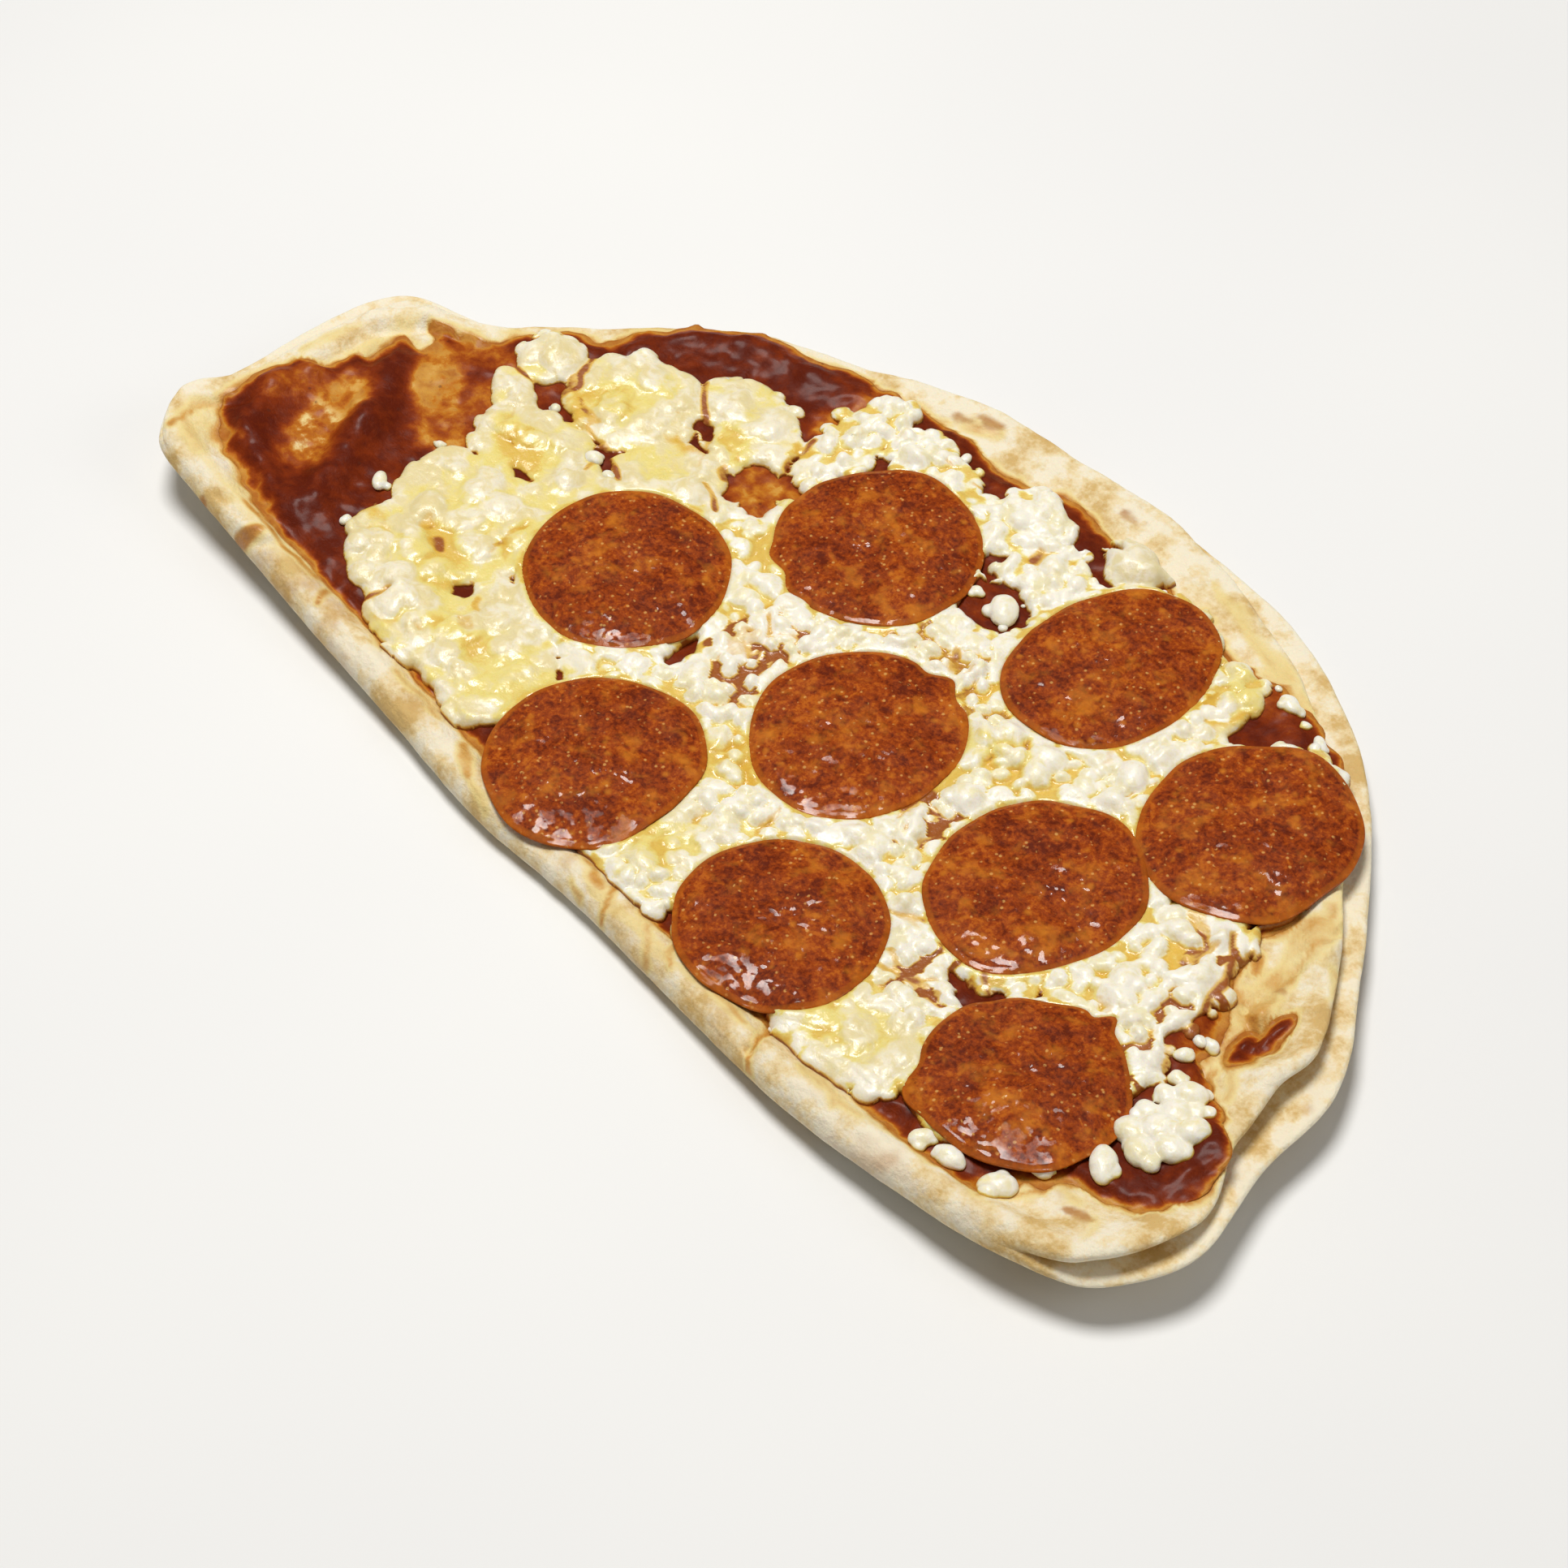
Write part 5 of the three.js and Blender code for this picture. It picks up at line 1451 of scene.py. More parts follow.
# %% [markdown]
# ## Making the sauce and the cheese
# Both are cut from a grid, and what a slice or the cheese hides gets fewer triangles. The lower
# side of each is sunk a little into what it lies on, so that no gap shows at its edge.

# %% Make the sauce
SAUCE_CELL, SAUCE_SPECK = 0.75, 60  # mm, and the least points of an island that is kept
SAUCE_LOW, SAUCE_HIGH = (-139, -52), (131, 88)
SAUCE_SUNK, SAUCE_GOAL = 0.4, 150000


def make_sauce():
    plan, faces = cut_sheet(SAUCE_LOW, SAUCE_HIGH, SAUCE_CELL, sauce_cover, SAUCE_SPECK)
    x, y = plan.T
    cover = sauce_cover(x, y)
    top = sauce_surface(x, y, cover)
    points, faces = sheet_solid(plan, faces, crepe_top(x, y) - SAUCE_SUNK, top)
    depth = sauce_depth(x, y, cover)
    inside = 0.85 + 0.3 * fractal(x, y, 4, 55) - 0.75 * spots([THIN_SAUCE[0]], x, y, 3.5)
    stain = np.clip(mix(oil_stain_and_shade(x, y, cover), inside, smooth(0, 4, cover)), 0, 1)
    painted = {"depth": np.tile(depth, 2), "stain": np.tile(stain, 2)}
    piece = new_piece("sauce_skin", points, faces, painted)
    hidden = (cheese_spread(x, y) > 1.5) | (slice_distance(x, y) < -3)
    thin_out(piece, np.concatenate([hidden, cover > 1]), SAUCE_GOAL)
    return piece


sauce = make_sauce()
sauce.data.materials.append(sauce_finish())
measure(sauce)

# %% Make the cheese
CHEESE_CELL, CHEESE_SPECK = 0.5, 12
CHEESE_LOW, CHEESE_HIGH = (-113, -52), (125, 86)
CHEESE_SUNK, CHEESE_GOAL = 0.9, 190000
OILY_PLACES = [  # yellow fields on the cheese: [x, y, rx, ry, turn, amount]
    [-76, -26, 9, 5, -30, 0.5], [-58, -36, 6, 3, 20, 0.5], [-90, 4, 8, 4, -20, 0.6],
    [-70, -12, 2, 6, 10, 0.5], [-88, 24, 6, 4, 30, 0.45], [-62, 36, 5, 4, 0, 0.5],
    [4, -14, 12, 5, 20, 0.45], [8, -44, 6, 6, 0, 0.5], [-4, -30, 4, 8, 0, 0.55],
    [34, 22, 10, 6, 0, 0.45], [98, 34, 5, 9, 10, 0.75], [58, -44, 5, 4, 0, 0.4],
    [53, 66, 8, 4, -20, 0.6], [-35, 24, 10, 4, 0, 0.4], [62, 28, 6, 4, 0, 0.4], [84, 2, 3, 6, 0, 0.3],
]


def make_cheese():
    plan, faces = cut_sheet(CHEESE_LOW, CHEESE_HIGH, CHEESE_CELL, cheese_cover, CHEESE_SPECK)
    x, y = plan.T
    cover, spread = cheese_cover(x, y), cheese_spread(x, y)
    base, top, relief, melted, away = cheese_surface(x, y, cover)
    points, faces = sheet_solid(plan, faces, base - CHEESE_SUNK, top)
    thin = 1 - smooth(0.1, 0.9, top - base)
    beside = np.exp(-np.maximum(away, 0) / 0.9)
    creases = (1 - relief) * mix(0.95, 0.5, melted)
    fields = spots(OILY_PLACES, x + 2 * noise(x, y, 5, 141), y, 3)
    oil = np.clip(creases + 0.6 * beside + fields + 0.1 * melted, 0, 1.2)
    wx, wy = x + 1.2 * noise(x, y, 2.6, 143), y + 1.2 * noise(x, y, 2.6, 144)
    stains = spots(CHEESE_STAINS, wx, wy, 0.9) * (1.15 - 0.5 * relief)
    collar = 1 - smooth(-0.6, 0.8, spread)  # where only oil laps the slice
    thin = thin + 0.2 * (1 - smooth(0, 0.2, relief)) * (1 - melted)
    thin = np.maximum(np.maximum(thin, stains), np.maximum(collar, groove_at(x, y)))
    thin = np.clip(np.maximum(thin, crevice_at(x, y, cheese_relief(x, y)[0])), 0, 1)
    painted = {"oil": oil, "thin": thin, "melt": melted}
    painted = {name: np.tile(values, 2) for name, values in painted.items()}
    piece = new_piece("cheese_curds", points, faces, painted)
    thin_out(piece, np.concatenate([away < -2, np.ones(len(x), bool)]), CHEESE_GOAL)
    return piece


cheese = make_cheese()
cheese.data.materials.append(cheese_finish())
measure(cheese)

# %% [markdown]
# ## Geometry Nodes
# What repeats is grown by a tree of geometry nodes, which is a recipe with named inputs. The
# same expressions serve here, because a tree's sums are the same Math nodes. Each recipe ends in
# plain triangles, and its modifier is applied and removed.

# %% A recipe and how it is run
class Recipe(Nodes):
    """A geometry tree with a named input for each number."""

    def __init__(self, name, values):
        super().__init__(bpy.data.node_groups.new(name, "GeometryNodeTree"))
        kinds = {int: "NodeSocketInt", float: "NodeSocketFloat"}
        face = self.tree.interface
        face.new_socket("Geometry", in_out="INPUT", socket_type="NodeSocketGeometry")
        for key, value in values.items():
            kind = kinds.get(type(value), "NodeSocketMaterial")
            socket = face.new_socket(key, in_out="INPUT", socket_type=kind)
            if type(value) in kinds:
                socket.default_value = value
        face.new_socket("Geometry", in_out="OUTPUT", socket_type="NodeSocketGeometry")
        self.start = self.tree.nodes.new("NodeGroupInput")

    def given(self, name):
        return Signal(self, self.start.outputs[name])

    def parts(self, vector):
        """The x, y and z of a vector."""
        return [self.node("ShaderNodeSeparateXYZ", {}, {0: vector}, k) for k in range(3)]

    def join(self, x, y, z):
        return self.node("ShaderNodeCombineXYZ", {}, {0: x, 1: y, 2: z})

    def named(self, name):
        """The number that each point carries under a name."""
        inputs = {"Name": name}
        return self.node("GeometryNodeInputNamedAttribute", {"data_type": "FLOAT"}, inputs, "Attribute")

    def keep(self, geometry, name, value):
        """Stores a number on each point, for the finish to read."""
        settings = {"data_type": "FLOAT", "domain": "POINT"}
        inputs = {"Geometry": geometry, "Name": name, "Value": value}
        return self.node("GeometryNodeStoreNamedAttribute", settings, inputs)

    def sample(self, value, index, kind):
        """A value of the given points, read at an index."""
        settings = {"data_type": kind, "domain": "POINT"}
        inputs = {"Geometry": self.given("Geometry"), "Value": value, "Index": index}
        return self.node("GeometryNodeSampleIndex", settings, inputs, "Value")

    def finish(self, geometry):
        """Ends the tree in real, smooth triangles with the finish."""
        geometry = self.node("GeometryNodeSetShadeSmooth", {}, {"Geometry": geometry})
        geometry = self.node("GeometryNodeRealizeInstances", {}, {"Geometry": geometry})
        inputs = {"Geometry": geometry, "Material": self.given("Finish")}
        geometry = self.node("GeometryNodeSetMaterial", {}, inputs)
        end = self.tree.nodes.new("NodeGroupOutput")
        self.tree.links.new(geometry.socket, end.inputs["Geometry"])


# %% Running a recipe
def grow(host, recipe, values):
    """Runs a recipe on an object and leaves a plain mesh."""
    modifier = host.modifiers.new(recipe.tree.name, "NODES")
    modifier.node_group = recipe.tree
    for item in recipe.tree.interface.items_tree:
        if item.in_out == "INPUT" and item.name in values:
            modifier[item.identifier] = values[item.name]
    bake_modifiers(host)


def points_object(name, places, attributes):
    """Loose points, for a recipe to start from."""
    mesh = bpy.data.meshes.new(name)
    mesh.from_pydata([tuple(map(float, p)) for p in places], [], [])
    paint(mesh, attributes)
    return placed(name, mesh)


# %% [markdown]
# ## The pepperoni
# A slice is a thin disc of minced meat. In the oven its rim dries and curls up a little, and
# fat melts out and leaves it shining. Its colour is a mix of coarse and fine noise through one
# ramp from dark meat to orange fat, with pale specks of fat that also stand in as painted
# glints. The oil is a clear coat in patches: a clear coat ignores the fine bumps under it, so it
# glints crisply on the mesh's own lumps.

# %% Pepperoni: finish
MEAT_STOPS = [
    (0.41, (0.120, 0.014, 0.002)), (0.47, (0.215, 0.031, 0.003)), (0.53, (0.31, 0.050, 0.004)),
    (0.60, (0.45, 0.105, 0.008)),
]
FAT, RIM_ORANGE, PALE_FAT_AND_GLINT = (0.58, 0.19, 0.015), (0.44, 0.115, 0.008), (0.74, 0.42, 0.12)
DARK_MEAT = (0.10, 0.010, 0.002)


def meat_finish():
    f = Finish("cured sausage")
    rim = f.painted("rim")
    broad = f.noise(f.place, 0.011, 3, 0.55)
    minced = f.noise(f.place, 0.0026, 4, 0.65, 0.8)
    fine = f.noise(f.place, 0.0009, 3, 0.65)
    tone = broad * 0.22 + minced * 0.4 + fine * 0.38
    colour = f.ramp(tone, MEAT_STOPS)
    fat = f.noise(f.place, 0.0042, 3, 0.5, 0.3)
    colour = f.blend(colour, FAT, f.step(fat * 0.7 + broad * 0.3, 0.5, 0.7) * 0.6)
    flakes = f.step(f.cells(f.place, 0.0036), 0.3, 0.05) * f.step(broad, 0.46, 0.54)
    colour = f.blend(colour, FAT, flakes * 0.6)
    # pale specks of fat, which also stand in as painted glints
    specks = f.step(f.cells(f.place, 0.0016), 0.26, 0.12) * f.step(minced, 0.46, 0.54)
    colour = f.blend(colour, PALE_FAT_AND_GLINT, specks * 0.55)
    dark = f.step(f.cells(f.place, 0.0026), 0.2, 0.06) * f.step(fine, 0.5, 0.6)
    colour = f.blend(colour, DARK_MEAT, dark * 0.6)
    colour = f.blend(colour, RIM_ORANGE, f.step(rim, 0.45, 1.0) * 0.5)
    wet = f.noise(f.place, 0.007, 3, 0.55)
    grain = f.noise(f.place, 0.0006, 3, 0.65)
    pits = f.noise(f.place, 0.0019, 4, 0.65)
    return f.done(
        Base_Color=colour,
        Roughness=0.5 + grain * 0.1,
        Normal=f.bump(pits * 0.7 + grain * 0.3, 0.0003, 0.8),
        Specular_IOR_Level=0.06,
        Coat_Weight=0.06 + f.step(wet, 0.44, 0.6) * 0.42,
        Coat_Roughness=0.07,
        Subsurface_Weight=0.12,
        Subsurface_Radius=(1.0, 0.35, 0.1),
        Subsurface_Scale=0.0016,
    )


# %% [markdown]
# ## The pepperoni's recipe
# The recipe starts from the points of a slice's outline and bends a grid round them: along one
# side of the grid runs the angle, along the other the way from the middle of the underside, over
# the rim, to the middle of the top. Its first and last columns meet and are merged. A slice with
# its own outline and its own seed costs no more than a copy, and no two then look the same.

# %% Pepperoni: recipe
SLICE_COLUMNS, SLICE_RINGS = 200, 64
UNDER, OVER = 0.2, 0.3  # the underside ends and the top starts at these shares of the rings
WAVE_SIZE, LUMP_SIZE, PIT_SIZE = 10.0, 3.8, 1.5  # mm
BEAD_AT, BEAD_WIDTH, BEAD_HEIGHT = 0.972, 0.016, 0.12  # a bead near the rim, by share of the radius
SEED_STEP = 7.3  # how far apart in the noise two slices lie
WELD = 0.002  # mm: points closer than this become one
SLICE_SIZES = {
    "Columns": SLICE_COLUMNS + 1, "Rings": SLICE_RINGS, "Bed": SLICE_BED, "Thickness": 1.3,
    "Cup": 0.5, "Dome": 0.6, "Bump Height": 0.35, "Frame X": float(SHIFT_X), "Frame Y": float(SHIFT_Y),
}


def slice_recipe():
    own = {"Centre X": 0.0, "Centre Y": 0.0, "Cup Turn": 0.0, "Seed": 1.0, "Finish": None}
    r = Recipe("slice of pepperoni", {**SLICE_SIZES, **own})
    grid = r.node("GeometryNodeMeshGrid", {}, {
        "Size X": 1.0, "Size Y": 1.0, "Vertices X": r.given("Columns"), "Vertices Y": r.given("Rings"),
    })
    place = r.node("GeometryNodeInputPosition")
    across, along, _ = r.parts(place)
    u, v = across + 0.5, along + 0.5
    count = r.given("Columns") - 1
    step = (u * count + 0.5).of("FLOOR")
    number = step.math("MODULO", step, count)
    whole = r.node("FunctionNodeFloatToInt", {"rounding_mode": "ROUND"}, {0: number})
    rim_x, rim_y, _ = r.parts(r.sample(place, whole, "FLOAT_VECTOR"))
    sag = r.sample(r.named("sag"), whole, "FLOAT")
    out_x, out_y = rim_x - r.given("Centre X"), rim_y - r.given("Centre Y")
    wall = ((v - UNDER) / (OVER - UNDER)).at_least(0.0).at_most(1.0)
    share = (v / UNDER).at_most((1 - v) / (1 - OVER)).at_most(1.0)
    bulge = (wall * np.pi).of("SINE") * 0.03 + 0.97
    x = r.given("Centre X") + out_x * share * bulge
    y = r.given("Centre Y") + out_y * share * bulge
    from_middle = (x * x + y * y).of("SQRT")
    steep = (from_middle - DISH_FLAT).at_least(0.0) / (DISH_REACH - DISH_FLAT)
    angle = out_y.math("ARCTAN2", out_y, out_x)
    curl = (angle * 2 + r.given("Cup Turn")).of("SINE")
    cup = r.given("Cup") * share**5 * (curl * 0.4 + 0.6) + (1 - share * share) * r.given("Dome")
    spot = r.join(x, y, r.given("Seed") * SEED_STEP)
    wave = (r.noise(spot, WAVE_SIZE, 1.0) - 0.5) * 2.4
    lumps = (r.noise(spot, LUMP_SIZE, 2.0) - 0.5) * 1.8
    pits = (r.noise(spot, PIT_SIZE, 2.0) - 0.5) * 0.6
    on_top = r.step(v, OVER - 0.04, OVER + 0.02)
    bead = (((share - BEAD_AT) / BEAD_WIDTH) ** 2 * -1).of("EXPONENT") * BEAD_HEIGHT
    body = r.given("Thickness") * (1 - share**10 * 0.45) * r.step(wall, 0.0, 1.0)
    fade = 1 - share**10 * 0.7
    bumps = wave * fade * 0.55 + (lumps * fade * r.given("Bump Height") + pits * 0.7 + bead) * on_top
    z = steep * steep * DISH_RISE + r.given("Bed") + cup + body + bumps - sag * share**3
    shaped = r.keep(grid, "rim", r.step(share, 0.93, 0.995))
    shaped = r.node("GeometryNodeSetPosition", {}, {"Geometry": shaped, "Position": r.join(x, y, z)})
    shaped = r.node("GeometryNodeMergeByDistance", {}, {"Geometry": shaped, "Distance": WELD})
    move = r.join(r.given("Frame X") * MM, r.given("Frame Y") * MM, 0.0)
    inputs = {"Geometry": shaped, "Translation": move, "Scale": (MM, MM, MM)}
    r.finish(r.node("GeometryNodeTransform", {}, inputs))
    return r


# %% Pepperoni: nine slices
SAG_MOST, LIFT_MOST = 1.7, 0.8  # mm
CHEESE_UNDER = 1.3  # mm of cheese that holds up a slice's rim
CUP_STEP = 1.7  # radians by which the curl of each next slice is turned


def rim_sag(x, y):
    """How far the rim of a slice droops on to what lies under it, or is lifted by it."""
    support = sauce_bed(x, y) + 0.15 + CHEESE_UNDER * smooth(-1.5, 0.5, cheese_spread(x, y))
    return averaged_round(np.clip(dish(x, y) + SLICE_BED - support, -LIFT_MOST, SAG_MOST), 7)


def make_slices():
    recipe, finish = slice_recipe(), meat_finish()
    angles = np.linspace(0, 2 * np.pi, SLICE_COLUMNS, endpoint=False)
    slices = []
    for number, (cx, cy, *_) in enumerate(SLICES):
        radius = slice_radius(number, (angles + np.pi) % (2 * np.pi) - np.pi)
        x, y = cx + radius * np.cos(angles), cy + radius * np.sin(angles)
        rim = np.column_stack([x, y, 0 * angles])
        piece = points_object(f"slice_{number + 1}", rim, {"sag": rim_sag(x, y)})
        own = {
            "Centre X": float(cx), "Centre Y": float(cy), "Cup Turn": CUP_STEP * (number + 1),
            "Seed": float(number + 1), "Finish": finish,
        }
        grow(piece, recipe, {**SLICE_SIZES, **own})
        measure(piece)
        slices.append(piece)
    return slices


slices = make_slices()

# %% [markdown]
# ## Loose curds and crumbs
# A few curds lie on the sauce by themselves, and crumbs of cheese lie in the gaps. One recipe
# puts a round on each point, sized and turned by what the point carries, and dents it. A real
# curd is several lumps that have run together, so each gets smaller lobes, and a voxel remesh
# then fuses what cuts into one another.

# %% Curds: places
LONE_CURDS = [  # [x, y, half length, half width, turn]
    [-98.6, -23.4, 2.6, 1.5, -50], [6.4, 47.4, 4, 2.9, -40], [60.6, 69.4, 2.6, 1.7, -10],
    [71.4, 66.1, 2.6, 1.3, -35], [66, 68, 1.2, 0.9, 0], [112.2, -28.8, 4, 2.5, -45],
    [102.8, -44, 3.6, 2.5, 50], [93, -46, 3.2, 2, 10], [87, -46.6, 2.6, 1.8, 60],
    [-99.3, -8.2, 1.3, 1.0, 30], [-77, 13.5, 2.2, 1.6, 10], [-71.5, 12.8, 1.8, 1.3, 0],
    [-1, 47.2, 1.5, 1.3, 0], [-76, 47, 1.5, 1.2, 0], [105.6, -36.6, 2.2, 1.5, 20],
    [106.5, -32.6, 1.6, 1.2, 0], [51.5, -49.4, 1.2, 0.8, 0], [109, -26, 1.5, 1.2, 0],
    [110.5, -20.2, 3.6, 2.9, 20], [114.5, -22.6, 3.3, 2.6, -20], [113.6, -17, 4.0, 3.4, 40],
    [117.6, -18.6, 3.2, 2.6, 0], [118.0, -13.6, 3.2, 2.6, 60], [112.8, -12.4, 3.2, 2.7, 0],
    [109.2, -15.4, 2.8, 2.3, 0], [111.6, -7.6, 3.2, 2.5, 30], [108.8, -10.6, 2.5, 1.9, 0],
    [115.2, -9.6, 2.5, 2.0, 0],
    [107.6, -6.4, 1.9, 1.5, 0], [104.6, -2.2, 2.0, 1.4, 40], [105.6, 3.4, 1.7, 1.3, 0],
]
LOBE_SIDES = (30, 200)  # degrees from the curd's own direction
LOBE_SEED = 5


def with_lobes(places):
    """Adds smaller lumps to each curd, stuck to its sides."""
    random = np.random.default_rng(LOBE_SEED)
    lobes = []
    for x, y, rx, ry, turn in places:
        for side in LOBE_SIDES:
            a = np.radians(side + random.uniform(-60, 60) + turn)
            off, size = random.uniform(0.5, 0.85), random.uniform(0.45, 0.75)
            lobe_x, lobe_y = x + rx * off * np.cos(a), y + rx * off * np.sin(a)
            lobes.append([lobe_x, lobe_y, ry * size * 1.1, ry * size, turn])
    return list(places) + lobes


print(f"{len(LONE_CURDS)} lone curds, {len(with_lobes(LONE_CURDS))} with their lobes")

# %% Curds: recipe
def curd_recipe():
    sizes = {"Detail": 4, "Lump Size": 2.0, "Lump Height": 0.3, "Seed": 1.0, "Finish": None}
    r = Recipe("curds on points", sizes)
    ball = r.node("GeometryNodeMeshIcoSphere", {}, {"Radius": 1.0, "Subdivisions": r.given("Detail")})
    size = r.join(r.named("half_x"), r.named("half_y"), r.named("half_z"))
    turn = r.join(0.0, 0.0, r.named("turn"))
    inputs = {"Points": r.given("Geometry"), "Instance": ball, "Rotation": turn, "Scale": size}
    curds = r.node("GeometryNodeInstanceOnPoints", {}, inputs)
    curds = r.node("GeometryNodeRealizeInstances", {}, {"Geometry": curds})
    x, y, z = r.parts(r.node("GeometryNodeInputPosition"))
    inputs = {
        "Vector": r.join(x, y, z + r.given("Seed")), "Scale": 1000 / r.given("Lump Size"), "Detail": 2.0,
    }
    dents = r.node("ShaderNodeTexNoise", {}, inputs)
    push = (dents - 0.5) * 2 * r.given("Lump Height") * MM
    normal = r.node("GeometryNodeInputNormal")
    offset = r.node("ShaderNodeVectorMath", {"operation": "SCALE"}, {0: normal, "Scale": push})
    curds = r.node("GeometryNodeSetPosition", {}, {"Geometry": curds, "Offset": offset})
    facing = r.parts(normal)[2]
    low = 1 - r.step(facing, -0.3, 0.5)
    curds = r.keep(curds, "oil", (0.5 - dents) * 1.2 + low * 0.6 - 0.1)
    curds = r.keep(curds, "melt", 0.0)
    r.finish(r.keep(curds, "thin", low * 0.5))
    return r


# %% Curds: fusing lumps
FUSE_VOXEL, FUSE_ROUNDS = 0.26, 8  # mm, and how often the fused lumps are smoothed
FOOT = 1.3  # mm over the sauce that a curd is stained


def melt_together(piece):
    """Fuses lumps that cut into one another, softens the creases, and paints the feet amber."""
    fuse = piece.modifiers.new("fuse", "REMESH")
    fuse.mode = "VOXEL"
    fuse.voxel_size = FUSE_VOXEL * MM
    fuse.use_smooth_shade = True
    soften = piece.modifiers.new("soften", "SMOOTH")
    soften.factor = 0.5
    soften.iterations = FUSE_ROUNDS
    bake_modifiers(piece)
    piece.data.materials.clear()
    piece.data.materials.append(cheese.data.materials[0])
    piece.data.polygons.foreach_set("material_index", np.zeros(len(piece.data.polygons), np.int32))
    place = np.empty(len(piece.data.vertices) * 3, np.float32)
    piece.data.vertices.foreach_get("co", place)
    x, y, z = (place.reshape(-1, 3) / MM - [SHIFT_X, SHIFT_Y, 0]).T
    low = 1 - smooth(0.0, FOOT, z - sauce_surface(x, y, sauce_cover(x, y)))
    oil = 0.15 + 0.6 * low + 0.4 * noise(x, y, 3, 151)
    paint(piece.data, {"oil": oil, "thin": 0.62 * low**2, "melt": 0 * x})


# %% Curds: putting them on the sauce
CURD_SUNK, CURD_FLAT = 0.3, 0.78  # its middle's height and its own, as shares of its half width
LUMP_SHARE = 0.18  # height of the dents, as a share of their size
CRUMBS = 50  # tries; those that would lie on cheese or under a slice are left out
CRUMB_SEED = 7


def make_curds(recipe, name, places, detail, lump):
    x, y, rx, ry, turn = np.array(places, float).T
    z = sauce_surface(x, y, sauce_cover(x, y)) + ry * CURD_SUNK
    frame_places = np.column_stack([x + SHIFT_X, y + SHIFT_Y, z]) * MM
    carried = {
        "half_x": rx * MM, "half_y": ry * MM, "half_z": ry * CURD_FLAT * MM, "turn": np.radians(turn),
    }
    piece = points_object(name, frame_places, carried)
    grow(piece, recipe, {
        "Detail": detail, "Lump Size": lump, "Lump Height": lump * LUMP_SHARE, "Seed": 3.0,
        "Finish": cheese.data.materials[0],
    })
    measure(piece)
    return piece


def crumb_places():
    """Small places beside the cheese, on bare sauce."""
    random = np.random.default_rng(CRUMB_SEED)
    x, y = random.uniform(-100, 112, CRUMBS * 12), random.uniform(-48, 76, CRUMBS * 12)
    near = cheese_cover(x, y)
    good = (near > -1.6) & (near < -0.2) & (slice_distance(x, y) > 0.6) & (sauce_cover(x, y) > 1.5)
    x, y = x[good][:CRUMBS], y[good][:CRUMBS]
    half = random.uniform(0.45, 1.15, len(x))
    long_half = half * random.uniform(1, 1.4, len(x))
    return np.column_stack([x, y, long_half, half, random.uniform(0, 180, len(x))])


curds = curd_recipe()
lone_curds = make_curds(curds, "lone_curds", with_lobes(LONE_CURDS), 4, 2.2)
melt_together(lone_curds)
measure(lone_curds)
crumbs = make_curds(curds, "cheese_crumbs", crumb_places(), 3, 1.2)

# %% [markdown]
# ## Bodies, slots and the nodes that each piece stands for
# Food has no joints, so all of it rides on one body. Each piece is given the slot of its
# finish, and the plain solid that it stands for is hidden.

# %% Ride, replace, slot
def attach(piece, slot, *nodes):
    """Puts a finished piece on the one body, with its slot and the nodes that it replaces."""
    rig.ride(piece, "root")
    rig.slot(piece, slot)
    if nodes:
        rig.replaces(piece, *nodes)


attach(crepe, "dough", "crepe")
attach(sauce, "tomato", "sauce")
attach(cheese, "melted_cheese", "cheese")
attach(lone_curds, "melted_cheese")
attach(crumbs, "melted_cheese")
for number, piece in enumerate(slices):
    attach(piece, "cured_meat", f"pepperoni_{number + 1}")
print("pieces on the body:", 5 + len(slices))

# %% [markdown]
# ## Floor, light and camera
# A plain pale floor and soft studio light from above. The main light is nearly overhead, so
# only what leans towards the camera glints. A wide weak one fills the shadows.

# %% Floor
FLOOR_HALF = 2.0  # metres
FLOOR_DARK, FLOOR_LIGHT = (0.80, 0.80, 0.80), (0.84, 0.84, 0.83)


def make_floor():
    mesh = bpy.data.meshes.new("floor")
    corners = [(-1, -1), (1, -1), (1, 1), (-1, 1)]
    mesh.from_pydata([(FLOOR_HALF * a, FLOOR_HALF * b, 0) for a, b in corners], [], [(0, 1, 2, 3)])
    f = Finish("pale floor")
    tone = f.noise(f.place, 0.2, 2)
    colour = f.ramp(tone, [(0.3, FLOOR_DARK), (0.7, FLOOR_LIGHT)])
    mesh.materials.append(f.done(Base_Color=colour, Roughness=0.6 + tone * 0.1))
    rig.stage(placed("floor", mesh))


make_floor()

# %% Lights
LIGHTS = [  # [name, direction from the pizza, distance, width, watts, colour]
    ["window", (-0.20, 0.02, 1.0), 1.1, 0.42, 11.0, (1.0, 0.985, 0.955)],
    ["fill", (0.75, 0.35, 0.6), 1.2, 0.6, 1.6, (1.0, 0.98, 0.95)],
]
SKY, SKY_STRENGTH = (1.0, 0.985, 0.96), 0.2


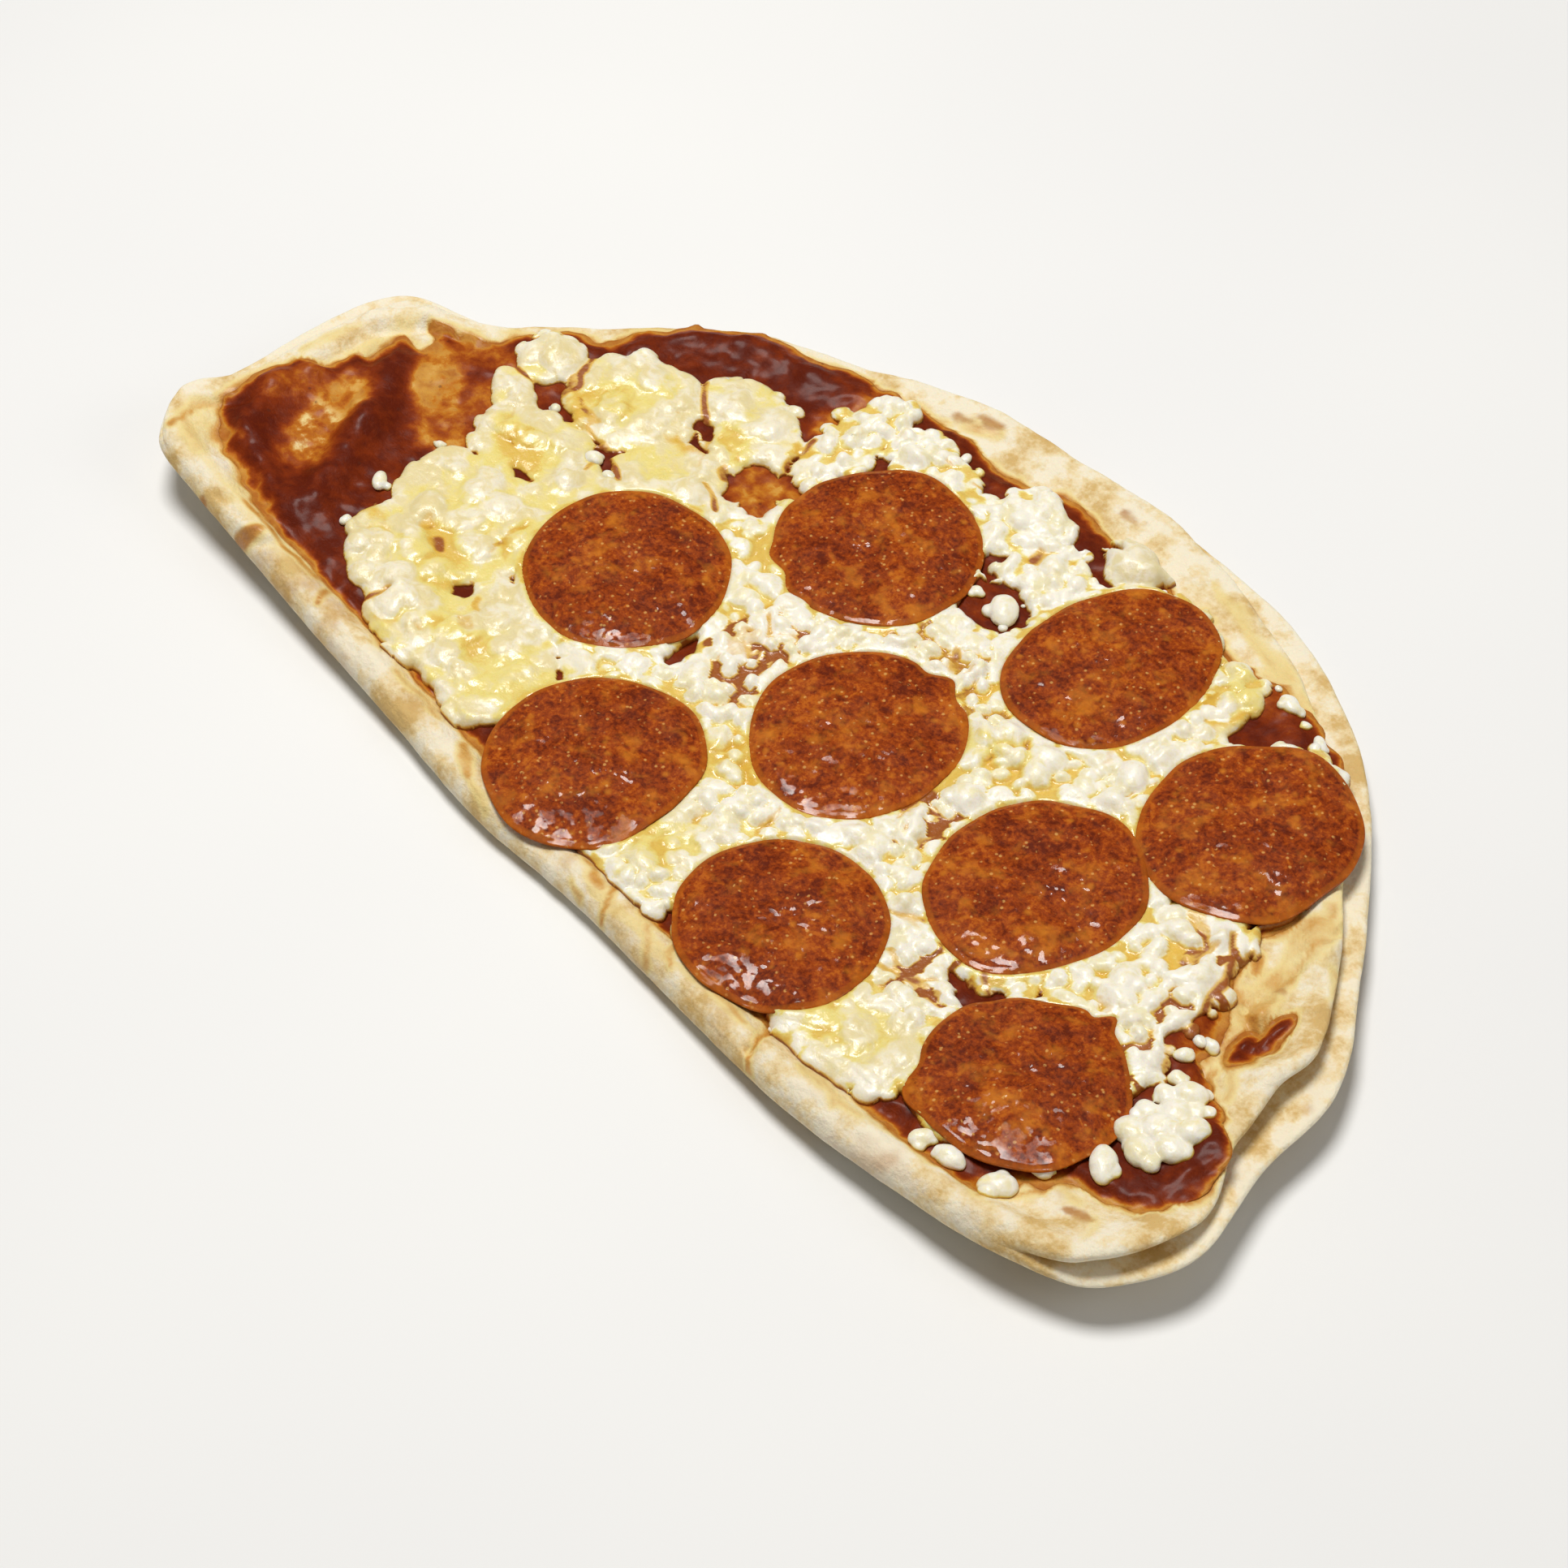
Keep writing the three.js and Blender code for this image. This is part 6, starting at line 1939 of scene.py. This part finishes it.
def aimed(position, target):
    """The place and turn of a lamp that shines from one point to another."""
    turn = (Vector(target) - Vector(position)).to_track_quat("-Z", "Y")
    return Matrix.Translation(Vector(position)) @ turn.to_matrix().to_4x4()


for name, direction, distance, width, watts, colour in LIGHTS:
    lamp = bpy.data.lights.new(name, "AREA")
    lamp.shape = "DISK"
    lamp.size = width
    lamp.energy = watts
    lamp.color = colour
    holder = placed(name, lamp)
    holder.matrix_world = aimed(Vector(direction).normalized() * distance, (0, 0, 0))
    print(f"{name}: {watts} W from {distance} m")

world = bpy.data.worlds.new("studio")
world.use_nodes = True
world.node_tree.nodes["Background"].inputs["Color"].default_value = (*SKY, 1)
world.node_tree.nodes["Background"].inputs["Strength"].default_value = SKY_STRENGTH
bpy.context.scene.world = world
bpy.context.scene.view_settings.view_transform = "Standard"

# %% Camera
CAMERA_PLACE = (0.32058, -0.26720, 0.4894)  # metres from the spot that the pizza rests on
CAMERA_FORWARD = Vector((-0.4933, 0.4065, -0.7691))
CAMERA_RIGHT = Vector((0.6359, 0.7718, 0.0))
CAMERA_ROLL = np.radians(1.452)
LENS, SENSOR = 78.26, 36.0


def make_camera():
    """A camera that sees the pizza from where the photo was taken."""
    forward, right = CAMERA_FORWARD.normalized(), CAMERA_RIGHT.normalized()
    up = right.cross(forward)
    c, s = np.cos(CAMERA_ROLL), np.sin(CAMERA_ROLL)
    right, up = c * right - s * up, s * right + c * up
    turn = Matrix((right, up, -forward)).transposed().to_4x4()
    camera = placed("camera", bpy.data.cameras.new("camera"))
    camera.data.lens, camera.data.sensor_width = LENS, SENSOR
    camera.data.clip_start = 0.01
    place = Vector(CAMERA_PLACE) + Vector((SHIFT_X * MM, SHIFT_Y * MM, 0))
    camera.matrix_world = Matrix.Translation(place) @ turn
    bpy.context.scene.camera = camera
    print(f"camera {place.length:.2f} m away, lens {LENS} mm")


make_camera()

# %% Sizes, and the end
with open("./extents.json", "w") as file:
    boxes = {"cad": cad_box, "visual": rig.bounds()}
    json.dump({key: [list(corner) for corner in box] for key, box in boxes.items()}, file)
print(open("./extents.json").read())
